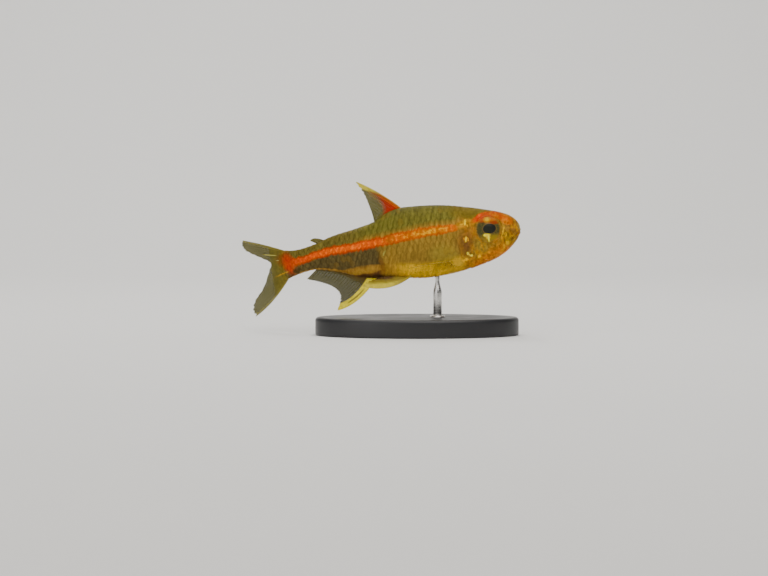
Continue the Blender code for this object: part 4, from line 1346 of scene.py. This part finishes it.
# %% The stand
BASE_AHEAD = 5.0
BASE_HALF = (14.0, 8.0)
BASE_THICKNESS = 2.5
BASE_EDGE = 0.45                # rounding of its upper edge
FOOT_EDGE = 0.22                # and of its lower edge
ROD_RADIUS = 0.6
COLLAR_WIDTH = 0.45             # how far the collar stands out from the rod
COLLAR_EDGE = 0.12
NECK_DEPTH = 1.9                # the rod starts to narrow this far under its top
NECK_LENGTH = 1.7
PIN_RADIUS = 0.28
PIN_DEPTH = 0.9                 # how far the pin runs on above the rod, into the belly
(low_x, low_y, _), (high_x, high_y, high_z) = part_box("stand_rod")
rod_place = ((low_x + high_x) / 2 / MM, (low_y + high_y) / 2 / MM)
rod_top = high_z / MM


def turned(profile, oval, centre, steps):
    """Carry a profile of (inset, height) points round an oval: the radius shrinks by the inset."""
    profile = np.array(profile, dtype=float)
    turn = np.arange(steps) * 2 * math.pi / steps
    inset, height = profile[:, :1], profile[:, 1:]
    x = (oval[0] - inset) * np.cos(turn) + centre[0]
    y = (oval[1] - inset) * np.sin(turn) + centre[1]
    points = np.stack(np.broadcast_arrays(x, y, height), axis=-1).reshape(-1, 3)
    poles = [(*centre, profile[0, 1]), (*centre, profile[-1, 1])]
    return np.concatenate((points, poles)) * MM, tube_cells(len(profile), steps)[0]


def rounded(inset, height, radius, start, end, steps=7):
    """A quarter round in a profile, from one angle to another in degrees, about its centre."""
    turn = np.radians(np.linspace(start, end, steps))
    return list(zip(inset - radius * np.cos(turn), height + radius * np.sin(turn)))


base_profile = ([(2.0, 0.0), (BASE_EDGE + 0.25, 0.0)] + rounded(FOOT_EDGE, FOOT_EDGE, FOOT_EDGE, -90, 0)
                + [(0.0, BASE_THICKNESS - BASE_EDGE - 0.25)]
                + rounded(BASE_EDGE, BASE_THICKNESS - BASE_EDGE, BASE_EDGE, 0, 90)
                + [(inset, BASE_THICKNESS) for inset in (BASE_EDGE + 0.3, 2.0, 4.0)])
points, faces = turned(base_profile, BASE_HALF, (BASE_AHEAD, 0.0), 192)
base = add_piece("display_base", points, faces, ("stand_base",))

collar_profile = ([(0.0, BASE_THICKNESS - 0.05), (0.0, BASE_THICKNESS + COLLAR_EDGE)]
                  + rounded(COLLAR_EDGE, BASE_THICKNESS + COLLAR_EDGE, COLLAR_EDGE, 0, 90, 5)
                  + [(0.5, BASE_THICKNESS + 2 * COLLAR_EDGE)])
points, faces = turned(collar_profile, (ROD_RADIUS + COLLAR_WIDTH,) * 2, rod_place, 64)
collar = add_piece("rod_collar", points, faces)

neck = ROD_RADIUS - PIN_RADIUS
neck_low = rod_top - NECK_DEPTH
rod_profile = [(0.05, BASE_THICKNESS - 0.3), (0.0, BASE_THICKNESS - 0.2), (0.0, neck_low)]
rod_profile += [(neck * 0.5 * (1 - math.cos(math.pi * share)), neck_low + NECK_LENGTH * share)
                for share in np.linspace(0.1, 1.0, 10)]
rod_profile += [(neck, rod_top), (neck, rod_top + PIN_DEPTH - 0.1), (neck + 0.1, rod_top + PIN_DEPTH)]
points, faces = turned(rod_profile, (ROD_RADIUS, ROD_RADIUS), rod_place, 48)
rod = add_piece("display_rod", points, faces, ("stand_rod",))

# %% The stand's finishes


def base_finish():
    """Satin black acrylic: faint clouding and very fine scratches in the gloss."""
    f = Finish("satin_black", Base_Color=(0.018, 0.018, 0.020, 1.0), Specular_IOR_Level=0.45)
    f.bump(f.noise(f.place(), 3800.0, 2.0), 0.12, 0.00002)
    return f.use(Roughness=f.soft(f.noise(f.place(), 220.0, 4.0), 0.3, 0.7, 0.33, 0.45))


def steel_finish():
    """Drawn steel: fine rings round the rod, in the gloss and in the bump."""
    f = Finish("drawn_steel", Base_Color=(0.62, 0.61, 0.59, 1.0), Metallic=1.0)
    grain = f.noise(f.vectors("MULTIPLY", f.place(), (600.0, 600.0, 30000.0)), 1.0, 3.0)
    f.bump(grain, 0.15, 0.00001)
    return f.use(Roughness=f.soft(grain, 0.3, 0.7, 0.22, 0.38))


steel = steel_finish()
for piece, finish in ((base, base_finish()), (collar, steel), (rod, steel)):
    piece.data.materials.append(finish)

# %% [markdown]
# The stage is a plain pale floor that curves up into its own backdrop, so no line crosses the
# picture. Four lamps light the model like a studio, and a fifth lights the backdrop. The camera
# looks at the fish's right side from the photo's angle, far enough away that the small fish
# isn't distorted.

# %% The floor


def make_sweep():
    """A strip of floor that turns up behind the model through a quarter circle."""
    reach, bend, tall, wide = 0.16, 0.12, 0.5, 0.9
    turn = np.linspace(0, math.pi / 2, 24)
    y = np.concatenate(([-0.7], reach + bend * np.sin(turn), [reach + bend]))
    z = np.concatenate(([0.0], bend * (1 - np.cos(turn)), [tall]))
    x = np.linspace(-wide, wide, 2)
    grid = np.stack(np.broadcast_arrays(x[None, :], y[:, None], z[:, None]), axis=-1)
    cells, _ = grid_cells(len(y), 2)
    return add_piece("studio_sweep", grid, [cells], stage=True)


def sweep_finish():
    """Pale matt paper with the faintest mottling."""
    f = Finish("pale_paper", Roughness=0.9)
    cloud = f.noise(f.place(), 14.0, 3.0)
    return f.use(Base_Color=f.mix(cloud, (0.78, 0.775, 0.755), (0.81, 0.805, 0.79)))


sweep = make_sweep()
sweep.data.materials.append(sweep_finish())

# %% The lamps


def look_rotation(direction):
    """Euler angles that turn an object's -Z to a direction and keep its X level."""
    x, y, z = direction
    return (math.atan2(math.hypot(x, y), -z), 0.0, math.atan2(-x, y))


def add_lamp(name, place, target, size, power, colour):
    """A square lamp at a place, turned to its target."""
    lamp = bpy.data.lights.new(name, "AREA")
    lamp.shape = "SQUARE"
    lamp.size = size
    lamp.energy = power
    lamp.color = colour
    holder = bpy.data.objects.new(name, lamp)
    holder.location = place
    holder.rotation_euler = look_rotation(np.subtract(target, place))
    bpy.context.scene.collection.objects.link(holder)


middle = (0.0, 0.0, 0.012)
add_lamp("key", (0.08, -0.26, 0.32), middle, 0.34, 1.10, (1.0, 0.97, 0.92))
add_lamp("fill", (-0.24, -0.30, 0.10), middle, 0.30, 0.48, (1.0, 0.98, 0.95))
add_lamp("glint", (0.02, -0.16, 0.30), middle, 0.02, 0.035, (1.0, 0.98, 0.95))
add_lamp("rim", (-0.06, 0.14, 0.26), middle, 0.12, 0.30, (1.0, 0.98, 0.95))
add_lamp("backdrop", (0.0, 0.02, 0.34), (0.0, 0.26, 0.02), 0.30, 0.80, (1.0, 0.99, 0.97))

world = bpy.data.worlds.new("studio")
world.use_nodes = True
sky = world.node_tree.nodes["Background"].inputs
sky["Color"].default_value = (0.95, 0.96, 1.0, 1.0)
sky["Strength"].default_value = 0.12
bpy.context.scene.world = world

# %% The camera
IMAGE = (768, 576)
PIXEL = 0.1375                  # millimetres of the fish's plane to a pixel of the photo
SNOUT_PIXEL = (521.0, 233.0)
CAMERA_AWAY = 450.0
CAMERA_RISE = math.radians(3.0)
aim = np.array((SNOUT_AHEAD + (IMAGE[0] / 2 - SNOUT_PIXEL[0]) * PIXEL, 0.0,
                SNOUT_HEIGHT - (IMAGE[1] / 2 - SNOUT_PIXEL[1]) * PIXEL))
eye_point = aim + CAMERA_AWAY * np.array((0.0, -math.cos(CAMERA_RISE), math.sin(CAMERA_RISE)))
camera_data = bpy.data.cameras.new("camera")
camera_data.sensor_width = 36.0
camera_data.lens = camera_data.sensor_width * CAMERA_AWAY / (IMAGE[0] * PIXEL)
camera_data.clip_start = 0.01
camera = bpy.data.objects.new("camera", camera_data)
camera.location = eye_point * MM
camera.rotation_euler = look_rotation(aim - eye_point)
bpy.context.scene.collection.objects.link(camera)
bpy.context.scene.camera = camera
